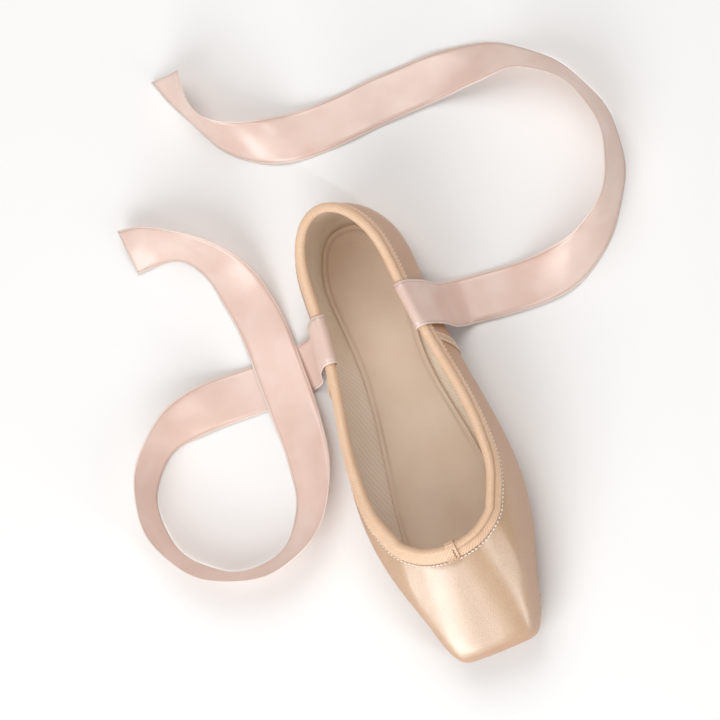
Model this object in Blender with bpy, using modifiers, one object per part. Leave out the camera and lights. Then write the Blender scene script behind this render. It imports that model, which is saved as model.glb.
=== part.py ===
"""Pointe shoe, standing empty on its sole.

Metres, +Z up, floor at z = 0. The toe points to -Y and the heel to +Y, and x = 0 is the middle
of the shoe. The upper is one surface: ribs run from under the sole, round the side and up to the
collar, and seven rings carry them round the shoe. Every other piece takes its place from it.
"""

import math
from collections import namedtuple

import bmesh
import bpy
import numpy as np
from mathutils import Vector

# Overall form of the shoe
LENGTH = 0.232
BALL_WIDTH = 0.080
PLATFORM_WIDTH = 0.044
WAIST_WIDTH = 0.065
HEEL_WIDTH = 0.058
PLATFORM_HEIGHT = 0.027
INSTEP_HEIGHT = 0.050
SIDE_HEIGHT = 0.041
HEEL_HEIGHT = 0.057
VAMP_LENGTH = 0.050
HEEL_LEAN = 0.006
WIDEST_HEIGHT = 0.016
FEATHER_RISE = 0.0006

# Opening of the collar
THROAT_WIDTH = 0.065
COLLAR_WAIST_WIDTH = 0.053
COLLAR_HEEL_WIDTH = 0.044

# Sole and insole
SOLE_FRONT = 0.019
SOLE_BACK = 0.0055
SOLE_BALL_WIDTH = 0.057
SOLE_WAIST_WIDTH = 0.037
SOLE_HEEL_WIDTH = 0.042
SOLE_THICKNESS = 0.002
SOLE_EDGE_BEVEL = 0.0004
INSOLE_THICKNESS = 0.0014
INSOLE_MARGIN = 0.0006
TOE_SPRING = 0.0038
SPRING_START = 0.045
ARCH_HEIGHT = 0.0045
ARCH_FRONT = 0.105
ARCH_BACK = 0.190

# Walls, overlays and the air between pieces
WALL = 0.002
GAP = 0.0003
SOLE_OVERLAP = 0.0015
LASTING_MARGIN = 0.009
BINDING_WIDTH = 0.0062
BINDING_INSIDE = 0.0055
BINDING_THICKNESS = 0.0008
BINDING_PUFF = 0.0003
JOIN_WIDTH = 0.005
JOIN_THICKNESS = 0.0005
SEAM_WIDTH = 0.005
BACK_SEAM_WIDTH = 0.004
SEAM_THICKNESS = 0.0005
SEAM_TOP = 0.150
SEAM_FOOT = 0.140
SEAM_SOLE_GAP = 0.0025

# Ribbons
RIBBON_WIDTH = 0.024
RIBBON_THICKNESS = 0.0004
RIBBON_STEPS = 2

# Finish of the meshes
RIB_LOW_STEPS = 5
RIB_TOP_STEPS = 9
MERGE = 0.00001
CREASE_ANGLE = math.radians(50)

Outline = namedtuple("Outline", "name along width share steps")
SoleEdge = namedtuple("SoleEdge", "along width share")
Collar = namedtuple("Collar", "along width share height_of height")
Rib = namedtuple("Rib", "shoulder_of shoulder widest top_weight low_weight")
Lay = namedtuple("Lay", "x y z yaw tilt")

# Widest line of the upper: along is a share of the length from the toe, and share is of half a width
OUTLINE = (
    Outline("toe centre", 0.0, PLATFORM_WIDTH, 0.0, 3),
    Outline("platform", 0.0011, PLATFORM_WIDTH, 0.58, 3),
    Outline("platform corner", 0.0070, PLATFORM_WIDTH, 0.86, 3),
    Outline("box front", 0.027, PLATFORM_WIDTH, 1.02, 3),
    Outline("box", 0.095, BALL_WIDTH, 0.685, 4),
    Outline("box back", 0.194, BALL_WIDTH, 0.865, 4),
    Outline("ball", 0.345, BALL_WIDTH, 1.0, 5),
    Outline("forefoot", 0.483, BALL_WIDTH, 0.935, 4),
    Outline("waist", 0.629, WAIST_WIDTH, 1.0, 4),
    Outline("heel front", 0.802, HEEL_WIDTH, 1.0, 4),
    Outline("heel side", 0.914, HEEL_WIDTH, 0.885, 4),
    Outline("heel corner", 0.974, HEEL_WIDTH, 0.56, 4),
    Outline("heel centre", 1.0, HEEL_WIDTH, 0.0, 0),
)

# Edge of the sole: along is a share of the sole's length from its front
SOLE_EDGE = (
    SoleEdge(0.0, SOLE_BALL_WIDTH, 0.0),
    SoleEdge(0.005, SOLE_BALL_WIDTH, 0.25),
    SoleEdge(0.017, SOLE_BALL_WIDTH, 0.44),
    SoleEdge(0.039, SOLE_BALL_WIDTH, 0.63),
    SoleEdge(0.082, SOLE_BALL_WIDTH, 0.83),
    SoleEdge(0.164, SOLE_BALL_WIDTH, 0.99),
    SoleEdge(0.304, SOLE_BALL_WIDTH, 0.985),
    SoleEdge(0.453, SOLE_WAIST_WIDTH, 1.27),
    SoleEdge(0.612, SOLE_WAIST_WIDTH, 1.02),
    SoleEdge(0.795, SOLE_HEEL_WIDTH, 0.99),
    SoleEdge(0.906, SOLE_HEEL_WIDTH, 0.93),
    SoleEdge(0.976, SOLE_HEEL_WIDTH, 0.58),
    SoleEdge(1.0, SOLE_HEEL_WIDTH, 0.0),
)

# Edge of the collar: along is a share of the opening's length from the throat
COLLAR = (
    Collar(0.0, THROAT_WIDTH, 0.0, INSTEP_HEIGHT, 1.0),
    Collar(0.006, THROAT_WIDTH, 0.27, INSTEP_HEIGHT, 0.994),
    Collar(0.019, THROAT_WIDTH, 0.46, INSTEP_HEIGHT, 0.982),
    Collar(0.040, THROAT_WIDTH, 0.62, INSTEP_HEIGHT, 0.966),
    Collar(0.076, THROAT_WIDTH, 0.775, INSTEP_HEIGHT, 0.943),
    Collar(0.142, THROAT_WIDTH, 0.910, INSTEP_HEIGHT, 0.910),
    Collar(0.237, THROAT_WIDTH, 0.993, SIDE_HEIGHT, 1.070),
    Collar(0.376, THROAT_WIDTH, 0.967, SIDE_HEIGHT, 1.022),
    Collar(0.543, COLLAR_WAIST_WIDTH, 1.0, SIDE_HEIGHT, 1.0),
    Collar(0.759, COLLAR_HEEL_WIDTH, 1.0, SIDE_HEIGHT, 1.075),
    Collar(0.898, COLLAR_HEEL_WIDTH, 0.85, HEEL_HEIGHT, 0.87),
    Collar(0.970, COLLAR_HEEL_WIDTH, 0.52, HEEL_HEIGHT, 0.965),
    Collar(1.0, COLLAR_HEEL_WIDTH, 0.0, HEEL_HEIGHT, 1.0),
)

# Form of the rib in each row: the shoulder's height, the widest line's, and how sharp both bends are
RIBS = (
    Rib(PLATFORM_HEIGHT, 1.0, 0.94, 5.0, 3.6),
    Rib(PLATFORM_HEIGHT, 1.0, 0.94, 4.6, 3.4),
    Rib(PLATFORM_HEIGHT, 1.0, 0.94, 3.6, 2.8),
    Rib(PLATFORM_HEIGHT, 1.06, 0.94, 2.4, 2.1),
    Rib(INSTEP_HEIGHT, 0.70, 1.0, 1.6, 1.5),
    Rib(INSTEP_HEIGHT, 0.75, 1.0, 1.3, 1.3),
    Rib(INSTEP_HEIGHT, 0.70, 1.0, 1.05, 1.2),
    Rib(SIDE_HEIGHT, 0.76, 1.0, 0.95, 1.2),
    Rib(SIDE_HEIGHT, 0.68, 1.06, 0.9, 1.2),
    Rib(SIDE_HEIGHT, 0.70, 1.06, 0.9, 1.25),
    Rib(HEEL_HEIGHT, 0.58, 1.08, 0.95, 1.3),
    Rib(HEEL_HEIGHT, 0.62, 1.1, 1.0, 1.35),
    Rib(HEEL_HEIGHT, 0.64, 1.1, 1.0, 1.4),
)

# Lay of the ribbons, in millimetres: the middle of the ribbon, and the heading and slope of its width
RIBBON_RIGHT = (
    Lay(26.9, 51.8, 21.8, 95.5, 4.5),
    Lay(25.4, 51.8, 27.3, 95.5, 4.5),
    Lay(23.2, 51.7, 32.2, 96, 5),
    Lay(21, 51.7, 37.5, 96, 5),
    Lay(19.7, 51.8, 40.6, 96, 5),
    Lay(19.9, 51.8, 42.6, 96, 5),
    Lay(21.4, 51.8, 44.1, 96, 5),
    Lay(23.5, 52, 44.4, 96, 5),
    Lay(25.3, 52.1, 43.2, 96, 5),
    Lay(27.2, 52.2, 39.5, 96, 5),
    Lay(29.7, 52.2, 32.7, 96, 5),
    Lay(31.9, 52.2, 24.6, 95.5, 4.5),
    Lay(33.4, 52, 15.5, 95, 3),
    Lay(35.9, 51.8, 7.4, 93, 2),
    Lay(41.3, 51.6, 2, 91, 1),
    Lay(50, 50.6, 0.8, 88, 0),
    Lay(70, 48, 1.6, 77, 4),
    Lay(98, 48.5, 7.6, 103, 36),
    Lay(121, 61, 11.4, 132, 67),
    Lay(136, 83, 12.2, 160, 76),
    Lay(139, 110, 12.2, 188, 77),
    Lay(129, 135, 11.9, 216, 72),
    Lay(110, 152, 10.2, 242, 54),
    Lay(88, 159, 5.6, 262, 24),
    Lay(65, 161, 1.6, 269, 4),
    Lay(42, 161, 0.8, 271, 0),
    Lay(19, 160, 0.8, 271, -1),
    Lay(-4, 160, 2.6, 267, -10),
    Lay(-26, 165, 8.0, 248, -38),
    Lay(-43, 177, 11.7, 222, -68),
    Lay(-52, 196, 11.6, 199, -68),
    Lay(-55, 216, 8.2, 187, -36),
)
RIBBON_LEFT = (
    Lay(-26.9, 51.8, 21.8, 84.5, 4.5),
    Lay(-25.4, 51.8, 27.3, 84.5, 4.5),
    Lay(-23.2, 51.7, 32.2, 84, 5),
    Lay(-21, 51.7, 37.5, 84, 5),
    Lay(-19.7, 51.8, 40.6, 84, 5),
    Lay(-19.9, 51.8, 42.6, 84, 5),
    Lay(-21.4, 51.8, 44.1, 84, 5),
    Lay(-23.5, 52, 44.4, 84, 5),
    Lay(-25.3, 52.1, 43.2, 84, 5),
    Lay(-27.2, 52.2, 39.5, 84, 5),
    Lay(-29.7, 52.2, 32.7, 84, 5),
    Lay(-31.9, 52.2, 24.6, 84.5, 4.5),
    Lay(-33.4, 52, 15.5, 85, 3),
    Lay(-35.9, 51.8, 7.4, 87, 2),
    Lay(-41.3, 51.6, 2, 89, 1),
    Lay(-50, 51, 0.5, 90, 0),
    Lay(-66, 51, 0.5, 90, 0),
    Lay(-82, 51.5, 2.2, 92, 8),
    Lay(-100, 50.5, 6.7, 98, 30),
    Lay(-120, 43, 11.1, 122, 62),
    Lay(-135, 26, 12.1, 153, 74),
    Lay(-139, 5, 12.2, 183, 76),
    Lay(-131, -17, 12.1, 213, 75),
    Lay(-114, -31, 11.9, 244, 72),
    Lay(-93, -35, 11.4, 275, 66),
    Lay(-73, -27, 10.0, 308, 52),
    Lay(-61, -10, 7.6, 335, 36),
    Lay(-56, 12, 4.7, 352, 19),
    Lay(-55, 32, 3.4, 357, 6),
    Lay(-55, 52, 2.8, 360, 0),
    Lay(-55, 72, 1.8, 361, 0),
    Lay(-57, 92, 3.0, 368, 10),
    Lay(-63, 112, 7.6, 385, 35),
    Lay(-76, 128, 11.0, 410, 60),
    Lay(-92, 136, 8.6, 430, 42),
    Lay(-108, 139, 4.0, 437, 14),
)


def lift(y):
    """Height of the sole's underside over the floor: toe spring in front, the arch at the waist."""
    along = np.asarray(y, float) + LENGTH / 2
    spring = np.clip((SPRING_START - along) / SPRING_START, 0, 1) ** 2
    arch = np.clip((along - ARCH_FRONT) / (ARCH_BACK - ARCH_FRONT), 0, 1)
    return TOE_SPRING * spring + ARCH_HEIGHT * np.sin(math.pi * arch) ** 2


def spline(knots, values, period=None):
    """Cubic spline through rows of values, as a function of an array of places. A period closes it."""
    n = len(knots)
    step = np.diff(np.append(knots, knots[0] + period if period else knots[-1] + 1))
    back = np.roll(step, 1)
    slope = (np.roll(values, -1, 0) - values) / step[:, None]
    turn = 6 * (slope - np.roll(slope, 1, 0))
    matrix = np.zeros((n, n))
    rows = np.arange(n)
    matrix[rows, rows] = 2 * (step + back)
    matrix[rows, (rows + 1) % n] += step
    matrix[rows, rows - 1] += back
    if not period:
        matrix[[0, -1]] = np.eye(n)[[0, -1]]
        turn[[0, -1]] = 0
    bend = np.linalg.solve(matrix, turn)

    def at(places):
        places = np.mod(places, period) if period else places
        i = np.searchsorted(knots, places, side="right") - 1
        i = np.clip(i, 0, n - 1 if period else n - 2)
        h, j = step[i][..., None], (i + 1) % n
        u = places[..., None] - knots[i][..., None]
        a, b = values[i], values[j]
        p, q = bend[i], bend[j]
        return a + u * ((b - a) / h - h * (2 * p + q) / 6) + u * u * p / 2 + u**3 * (q - p) / (6 * h)

    return at


def both_sides(half, mirrored_column=None):
    """The rows of one side, then those of the other on the way back to the toe."""
    back = half[-2:0:-1].copy()
    if mirrored_column is not None:
        back[:, mirrored_column] *= -1
    return np.concatenate([half, back])


class Last:
    """The rings and ribs that give the shoe its form."""

    def __init__(self):
        sole_length = LENGTH - SOLE_FRONT - SOLE_BACK
        opening = LENGTH - VAMP_LENGTH - HEEL_LEAN
        outline = np.array([[r.width / 2 * r.share, r.along * LENGTH - LENGTH / 2] for r in OUTLINE])
        sole_front = SOLE_FRONT - LENGTH / 2
        sole = np.array([[r.width / 2 * r.share, sole_front + r.along * sole_length] for r in SOLE_EDGE])
        collar = np.array(
            [
                [r.width / 2 * r.share, VAMP_LENGTH + r.along * opening - LENGTH / 2, r.height_of * r.height]
                for r in COLLAR
            ]
        )
        form = np.array(
            [[r.shoulder_of * r.shoulder, r.widest * WIDEST_HEIGHT, r.top_weight, r.low_weight] for r in RIBS]
        )
        loop = both_sides(outline, 0)
        gaps = np.linalg.norm(np.roll(loop, -1, 0) - loop, axis=1)
        self.around = float(gaps.sum())
        self.half = self.around / 2
        knots = np.concatenate([[0], np.cumsum(gaps)[:-1]])
        self.row_places = knots[: len(OUTLINE)]
        self.outline = spline(knots, loop, self.around)
        self.sole = spline(knots, both_sides(sole, 0), self.around)
        self.collar = spline(knots, both_sides(collar, 0), self.around)
        self.form = spline(knots, both_sides(form), self.around)

    def stations(self):
        """Places round the shoe, closer together where the outline turns."""
        half = [
            np.linspace(self.row_places[i], self.row_places[i + 1], row.steps, endpoint=False)
            for i, row in enumerate(OUTLINE[:-1])
        ]
        half = np.concatenate([*half, [self.half]])
        return np.concatenate([half, self.around - half[-2:0:-1]])

    def sole_ring(self, s, inset):
        """The sole's edge in plan, moved inwards by inset."""
        small = self.around * 1e-4
        edge = self.sole(s)
        run = unit(self.sole(s + small) - self.sole(s - small))
        inwards = np.stack([-run[..., 1], run[..., 0]], -1)
        return edge + inwards * inset

    def under(self, plan):
        """Plan points set on the underside of the upper, which lies on the sole."""
        return np.concatenate([plan, (lift(plan[..., 1]) + SOLE_THICKNESS + GAP)[..., None]], -1)

    def point(self, s, t):
        """Outer surface of the upper.

        t runs from -1 to 0 under the sole, on to 1 at the widest line and to 2 at the collar.
        """
        s, t = np.broadcast_arrays(np.asarray(s, float), np.asarray(t, float))
        margin = self.under(self.sole_ring(s, SOLE_OVERLAP + LASTING_MARGIN))
        bottom = self.under(self.sole_ring(s, SOLE_OVERLAP))
        plan, collar, form = self.outline(s), self.collar(s), self.form(s)
        feather = self.under(plan) + np.array([0, 0, FEATHER_RISE])
        widest = np.concatenate([plan, form[..., 1:2]], -1)
        shoulder = np.concatenate([plan, form[..., 0:1]], -1)
        flat = margin + (bottom - margin) * (t[..., None] + 1)
        low = conic(bottom, feather, widest, form[..., 3], t)
        top = conic(widest, shoulder, collar, form[..., 2], t - 1)
        return np.where(t[..., None] < 0, flat, np.where(t[..., None] < 1, low, top))

    def normal(self, s, t):
        """Outward unit normal of the upper's outer surface."""
        s, t = np.broadcast_arrays(np.asarray(s, float), np.asarray(t, float))
        small, ds = 1e-3, self.around * 2e-4
        t0, t1 = np.clip(t - small, -1, 2), np.clip(t + small, -1, 2)
        along = self.point(s + ds, t) - self.point(s - ds, t)
        return unit(np.cross(along, self.point(s, t1) - self.point(s, t0)))

    def below_collar(self, s, distances):
        """The places s and t on the surface these distances below the collar, square to its edge."""
        small, stride = self.around * 2e-4, 0.0003
        at = np.stack([s, np.full(len(s), 2.0)])
        edge = unit(self.point(s + small, 2.0) - self.point(s - small, 2.0))
        trail = [at]
        for _ in range(math.ceil(max(distances) / stride) + 1):
            along = (self.point(at[0] + small, at[1]) - self.point(at[0] - small, at[1])) / (2 * small)
            up = (self.point(at[0], at[1]) - self.point(at[0], at[1] - 1e-3)) / 1e-3
            down = np.cross(edge, unit(np.cross(along, up))) * stride
            axes = np.stack([along, up], -1)
            wanted = np.einsum("nij,ni->nj", axes, down)[..., None]
            move = np.linalg.solve(np.swapaxes(axes, 1, 2) @ axes, wanted)
            at = at + move[..., 0].T
            trail.append(at)
        trail = np.moveaxis(np.array(trail), 0, -1)
        travelled = stride * np.arange(trail.shape[-1])
        return np.array([[np.interp(distances, travelled, line) for line in lines] for lines in trail])


def unit(vectors):
    """The vectors at a length of one."""
    return vectors / np.linalg.norm(vectors, axis=-1, keepdims=True)


def conic(start, corner, end, weight, u):
    """Curve from start to end that leaves and arrives towards corner, and hugs it as weight grows."""
    u, weight = np.clip(u, 0, 1)[..., None], weight[..., None]
    a, b, c = (1 - u) ** 2, 2 * weight * u * (1 - u), u**2
    return (a * start + b * corner + c * end) / (a + b + c)


def material(name, colour, roughness):
    """A plain Principled material."""
    made = bpy.data.materials.new(name)
    made.use_nodes = True
    shader = made.node_tree.nodes["Principled BSDF"]
    shader.inputs["Base Color"].default_value = (*colour, 1)
    shader.inputs["Roughness"].default_value = roughness
    shader.inputs["Metallic"].default_value = 0
    return made


def grid_object(name, points, finish, wrap_rows=False, wrap_columns=False):
    """A mesh object from a grid of points, its faces turned by rows x columns."""
    rows, columns = points.shape[:2]
    work = bmesh.new()
    verts = [[work.verts.new(Vector(p)) for p in line] for line in points]
    for i in range(rows if wrap_rows else rows - 1):
        for j in range(columns if wrap_columns else columns - 1):
            a, b = (i + 1) % rows, (j + 1) % columns
            work.faces.new((verts[i][j], verts[a][j], verts[a][b], verts[i][b]))
    bmesh.ops.remove_doubles(work, verts=work.verts, dist=MERGE)
    mesh = bpy.data.meshes.new(name)
    work.to_mesh(mesh)
    work.free()
    mesh.materials.append(finish)
    mesh.shade_smooth()
    mesh.set_sharp_from_angle(angle=CREASE_ANGLE)
    made = bpy.data.objects.new(name, mesh)
    SHOE.objects.link(made)
    return made


def thicken(made, thickness, offset):
    """Gives an open surface its wall."""
    wall = made.modifiers.new("wall", "SOLIDIFY")
    wall.thickness = thickness
    wall.offset = offset
    wall.use_even_offset = True
    return made


def upper(last, finish):
    """Satin over canvas, one shell that is open at the collar and over the sole."""
    t = np.concatenate([[-1], np.linspace(0, 1, RIB_LOW_STEPS + 1), np.linspace(1, 2, RIB_TOP_STEPS + 1)[1:]])
    points = last.point(last.stations()[:, None], t[None, :])
    return thicken(grid_object("upper", points, finish, wrap_rows=True), WALL, -1)


def plate(name, edge, base, thickness, finish):
    """A flat piece that follows the arch: rungs run across from one edge to the other."""
    across = np.linspace(1, -1, 5)
    x = edge[:, 0][:, None] * across[None, :]
    y = np.repeat(edge[:, 1][:, None], len(across), 1)
    points = np.stack([x, y, lift(y) + base], -1)
    return thicken(grid_object(name, points, finish), thickness, 1)


def outsole(last, finish):
    """Leather sole, stopped short of the platform and narrow at the waist."""
    s = last.stations()[: sum(row.steps for row in OUTLINE) + 1]
    made = plate("outsole", last.sole_ring(s, 0), 0, SOLE_THICKNESS, finish)
    edge = made.modifiers.new("edge", "BEVEL")
    edge.width = SOLE_EDGE_BEVEL
    edge.segments = 1
    edge.limit_method = "ANGLE"
    edge.angle_limit = CREASE_ANGLE
    return made


def insole(last, finish):
    """Sock over the insole board, inside the shoe on the lasted margin."""
    s = last.stations()[: sum(row.steps for row in OUTLINE) + 1]
    base = SOLE_THICKNESS + GAP + WALL + GAP
    edge = last.sole_ring(s, SOLE_OVERLAP + INSOLE_MARGIN)
    return plate("insole", edge, base, INSOLE_THICKNESS, finish)


def folded_band(last, name, s, start, thickness, outside, inside, finish, closed):
    """A band folded over the collar. start is its clearance from the upper on both faces."""
    far, puff = start + thickness, BINDING_PUFF
    bend = thickness * 1.5
    face = (
        (outside, start + thickness * 0.3),
        (outside - thickness, far),
        (outside * 0.5, far + puff),
        (bend, far + puff),
        (-far * 0.72, far * 0.62),
        (-far - puff, -WALL / 2),
        (-far * 0.72, -WALL - far * 0.62),
        (bend, -WALL - far),
        (inside, -WALL - start - thickness * 0.3),
    )
    back = (
        (outside, start),
        (outside - thickness, start),
        (outside * 0.5, start),
        (bend, start),
        (-start, start),
        (-start, -WALL / 2),
        (-start, -WALL - start),
        (bend, -WALL - start),
        (inside, -WALL - start),
    )
    down, out = np.array(face + back[::-1]).T
    at_s, at_t = last.below_collar(s, np.maximum(down, 0))
    base = last.point(at_s, at_t)
    normal = last.normal(at_s, at_t)
    level = unit(last.point(s + MERGE, 2.0) - last.point(s - MERGE, 2.0))
    rise = np.cross(last.normal(s, 2.0), level)
    points = base + normal * out[None, :, None] + rise[:, None, :] * np.maximum(-down, 0)[None, :, None]
    made = grid_object(name, points, finish, wrap_rows=closed, wrap_columns=True)
    if not closed:
        close_ends(made, len(down))
    return made


def close_ends(made, around):
    """Fills both ends of a band with faces that run from its face to its back."""
    work = bmesh.new()
    work.from_mesh(made.data)
    work.verts.ensure_lookup_table()
    for first in (0, len(work.verts) - around):
        ring = work.verts[first : first + around]
        for i in range(around // 2 - 1):
            work.faces.new((ring[i], ring[i + 1], ring[-i - 2], ring[-i - 1]))
    bmesh.ops.recalc_face_normals(work, faces=work.faces)
    work.to_mesh(made.data)
    work.free()


def binding(last, finish):
    """Bias binding round the whole collar, with the drawstring's channel in it."""
    s = last.stations()
    return folded_band(
        last, "binding", s, GAP, BINDING_THICKNESS, BINDING_WIDTH, BINDING_INSIDE, finish, closed=True
    )


def binding_join(last, finish):
    """The folded end of the binding, lapped over its start at the middle of the throat."""
    reach = JOIN_WIDTH / 2
    middle, side = last.collar(np.array([0.0, reach]))[:, :2]
    throat_scale = np.linalg.norm(side - middle) / reach
    s = np.linspace(-reach, reach, 4) / throat_scale
    start = GAP + BINDING_THICKNESS + BINDING_PUFF + GAP
    return folded_band(
        last, "binding_join", s, start, JOIN_THICKNESS, BINDING_WIDTH + JOIN_THICKNESS,
        BINDING_INSIDE + JOIN_THICKNESS, finish, closed=False,
    )


def place_on(ring, last, along):
    """The place round the shoe where a ring reaches this distance from the toe."""
    s = np.linspace(0, last.half, 400)
    return float(np.interp(along - LENGTH / 2, ring(s)[:, 1], s))


def seam(last, name, top, foot, width, finish):
    """A raised band on the upper, from below the binding down to the sole's edge."""
    steps = 12
    lowest = last.point(np.array([foot]), np.linspace(0, 1, 30))
    run = np.linalg.norm(np.diff(lowest, axis=0), axis=1).cumsum()
    t_foot = np.interp(SEAM_SOLE_GAP + SOLE_OVERLAP, np.append(0, run), np.linspace(0, 1, 30))
    top, t_top = last.below_collar(np.array([top]), [BINDING_WIDTH + 2 * GAP])[:, 0, 0]
    t = np.linspace(t_foot, t_top, steps + 1)
    middle = foot + (top - foot) * (t - t_foot) / (t_top - t_foot)
    small = last.around * 1e-3
    stride = last.point(middle + small, t) - last.point(middle - small, t)
    scale = np.linalg.norm(stride, axis=1) / (2 * small)
    across = np.linspace(-0.5, 0.5, 4)
    s = middle[None, :] + across[:, None] * width / scale[None, :]
    t = np.repeat(t[None, :], len(across), 0)
    points = last.point(s, t) + last.normal(s, t) * GAP
    return thicken(grid_object(name, points, finish), SEAM_THICKNESS, 1)


def ribbon(name, lay, finish):
    """A ribbon sewn inside the quarter. It comes over the collar and lies loose on the floor."""
    rows = np.array(lay, float) * np.array([0.001, 0.001, 0.001, 1, 1])
    steps = np.linalg.norm(np.diff(rows[:, :3], axis=0), axis=1)
    knots = np.append(0, steps.cumsum())
    part_way = np.arange(RIBBON_STEPS) / RIBBON_STEPS
    places = np.append((knots[:-1, None] + steps[:, None] * part_way).ravel(), knots[-1])
    route = spline(knots, rows)(places)
    yaw, tilt = np.radians(route[:, 3]), np.radians(route[:, 4])
    width = np.stack([np.cos(yaw) * np.cos(tilt), np.sin(yaw) * np.cos(tilt), np.sin(tilt)], 1)
    half = width * RIBBON_WIDTH / 2
    points = np.stack([route[:, :3] - half, route[:, :3] + half], 1)
    return thicken(grid_object(name, points, finish), RIBBON_THICKNESS, 0)


def build():
    """Makes every piece of the shoe."""
    last = Last()
    satin = material("peach_satin", (0.86, 0.66, 0.49), 0.4)
    bias = material("peach_bias_binding", (0.82, 0.58, 0.42), 0.55)
    leather = material("tan_suede_leather", (0.50, 0.27, 0.15), 0.9)
    sock = material("cream_cotton_sock", (0.78, 0.66, 0.52), 0.85)
    upper(last, satin)
    outsole(last, leather)
    insole(last, sock)
    binding(last, bias)
    binding_join(last, bias)
    side_top = place_on(last.collar, last, SEAM_TOP)
    side_foot = place_on(last.sole, last, SEAM_FOOT)
    seam(last, "side_seam_right", side_top, side_foot, SEAM_WIDTH, satin)
    seam(last, "side_seam_left", last.around - side_top, last.around - side_foot, SEAM_WIDTH, satin)
    seam(last, "back_seam", last.half, last.half, BACK_SEAM_WIDTH, satin)
    pink = material("pink_satin_ribbon", (0.84, 0.64, 0.55), 0.4)
    ribbon("ribbon_right", RIBBON_RIGHT, pink)
    ribbon("ribbon_left", RIBBON_LEFT, pink)


for old in list(bpy.data.objects):
    bpy.data.objects.remove(old)
SHOE = bpy.data.collections.new("pointe_shoe")
bpy.context.scene.collection.children.link(SHOE)
build()
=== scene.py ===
"""Looks of a satin pointe shoe that stands empty on its leather sole, its two ribbons loose beside it.

Metres, +Z up. The toe points to -Y and the heel to +Y, and x = 0 is the middle of the shoe. Every
piece takes its place from the last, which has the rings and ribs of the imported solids.
"""

import logging
import math
from dataclasses import dataclass, field
from enum import Enum
from typing import Callable, NamedTuple

import bmesh
import bpy
import numpy as np
from mathutils import Matrix, Vector


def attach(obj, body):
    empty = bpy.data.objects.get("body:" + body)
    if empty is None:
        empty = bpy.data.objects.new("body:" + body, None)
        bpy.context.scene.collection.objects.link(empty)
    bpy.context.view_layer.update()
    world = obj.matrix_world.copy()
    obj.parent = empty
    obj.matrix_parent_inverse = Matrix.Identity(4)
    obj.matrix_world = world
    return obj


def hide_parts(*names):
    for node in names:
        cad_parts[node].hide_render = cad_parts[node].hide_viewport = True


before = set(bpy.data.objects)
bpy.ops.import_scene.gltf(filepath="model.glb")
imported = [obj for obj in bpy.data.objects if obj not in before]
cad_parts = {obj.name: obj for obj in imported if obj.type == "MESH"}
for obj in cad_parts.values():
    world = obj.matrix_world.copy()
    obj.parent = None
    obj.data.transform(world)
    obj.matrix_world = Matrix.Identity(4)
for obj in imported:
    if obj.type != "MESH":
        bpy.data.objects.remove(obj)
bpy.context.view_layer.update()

LOG = logging.getLogger("pointe_shoe")
BODY = "root"
MM = 0.001
MERGE = 1e-6
NEAR = 1e-5
SAMPLES = 400
FINE_SAMPLES = 2400

Array = np.ndarray
Curve = Callable[[Array], Array]
Face = Callable[[Array, Array, Array], Array]
Point = tuple[float, float, float]
Tree = bpy.types.NodeTree
Socket = bpy.types.NodeSocket
Value = Socket | float
Colour = Socket | str


class Slot(Enum):
    """Material slots of the record."""

    SATIN = "satin"
    BINDING = "binding"
    SOLE_LEATHER = "sole_leather"
    SOCK = "sock"
    RIBBON = "ribbon"


class Side(Enum):
    """Sides of the shoe, by the sign of x."""

    RIGHT = 1
    LEFT = -1


def unit(vectors: Array) -> Array:
    """Returns the vectors at a length of one."""
    return vectors / np.linalg.norm(vectors, axis=-1, keepdims=True)


def smooth(low: float, high: float, x: Array) -> Array:
    """Returns 0 below low, 1 above high and a soft step between them."""
    u = np.clip((np.asarray(x, float) - low) / (high - low), 0, 1)
    return u * u * (3 - 2 * u)


def hump(x: Array, width: float) -> Array:
    """Returns a soft hump, 1 at x = 0 and about 0.02 at x = width."""
    return np.exp(-4 * (np.asarray(x, float) / width) ** 2)


def spline(knots: Array, values: Array, period: float | None = None) -> Curve:
    """Makes a cubic spline through rows of values.

    Args:
        knots: Places of the rows.
        values: Rows of values.
        period: Length after which a closed spline repeats.

    Returns:
        A function from places to values.
    """
    n = len(knots)
    step = np.diff(np.append(knots, knots[0] + period if period else knots[-1] + 1))
    back = np.roll(step, 1)
    slope = (np.roll(values, -1, 0) - values) / step[:, None]
    turn = 6 * (slope - np.roll(slope, 1, 0))
    matrix = np.zeros((n, n))
    rows = np.arange(n)
    matrix[rows, rows] = 2 * (step + back)
    matrix[rows, (rows + 1) % n] += step
    matrix[rows, rows - 1] += back
    if not period:
        matrix[[0, -1]] = np.eye(n)[[0, -1]]
        turn[[0, -1]] = 0
    bend = np.linalg.solve(matrix, turn)

    def at(places: Array) -> Array:
        """Finds values of the spline.

        Args:
            places: Places along it.

        Returns:
            One row of values for each place.
        """
        places = np.mod(places, period) if period else places
        i = np.searchsorted(knots, places, side="right") - 1
        i = np.clip(i, 0, n - 1 if period else n - 2)
        h, j = step[i][..., None], (i + 1) % n
        u = places[..., None] - knots[i][..., None]
        a, b, p, q = values[i], values[j], bend[i], bend[j]
        return a + u * ((b - a) / h - h * (2 * p + q) / 6) + u * u * p / 2 + u**3 * (q - p) / (6 * h)

    return at


def both_sides(half: Array, mirrored: bool = False) -> Array:
    """Adds the other side's rows after those of one side, on the way back to the toe.

    Args:
        half: Rows from the toe's middle to the heel's middle.
        mirrored: Whether the first column changes its sign on the other side.

    Returns:
        Rows all the way round.
    """
    back = half[-2:0:-1].copy()
    if mirrored:
        back[:, 0] *= -1
    return np.concatenate([half, back])


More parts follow.
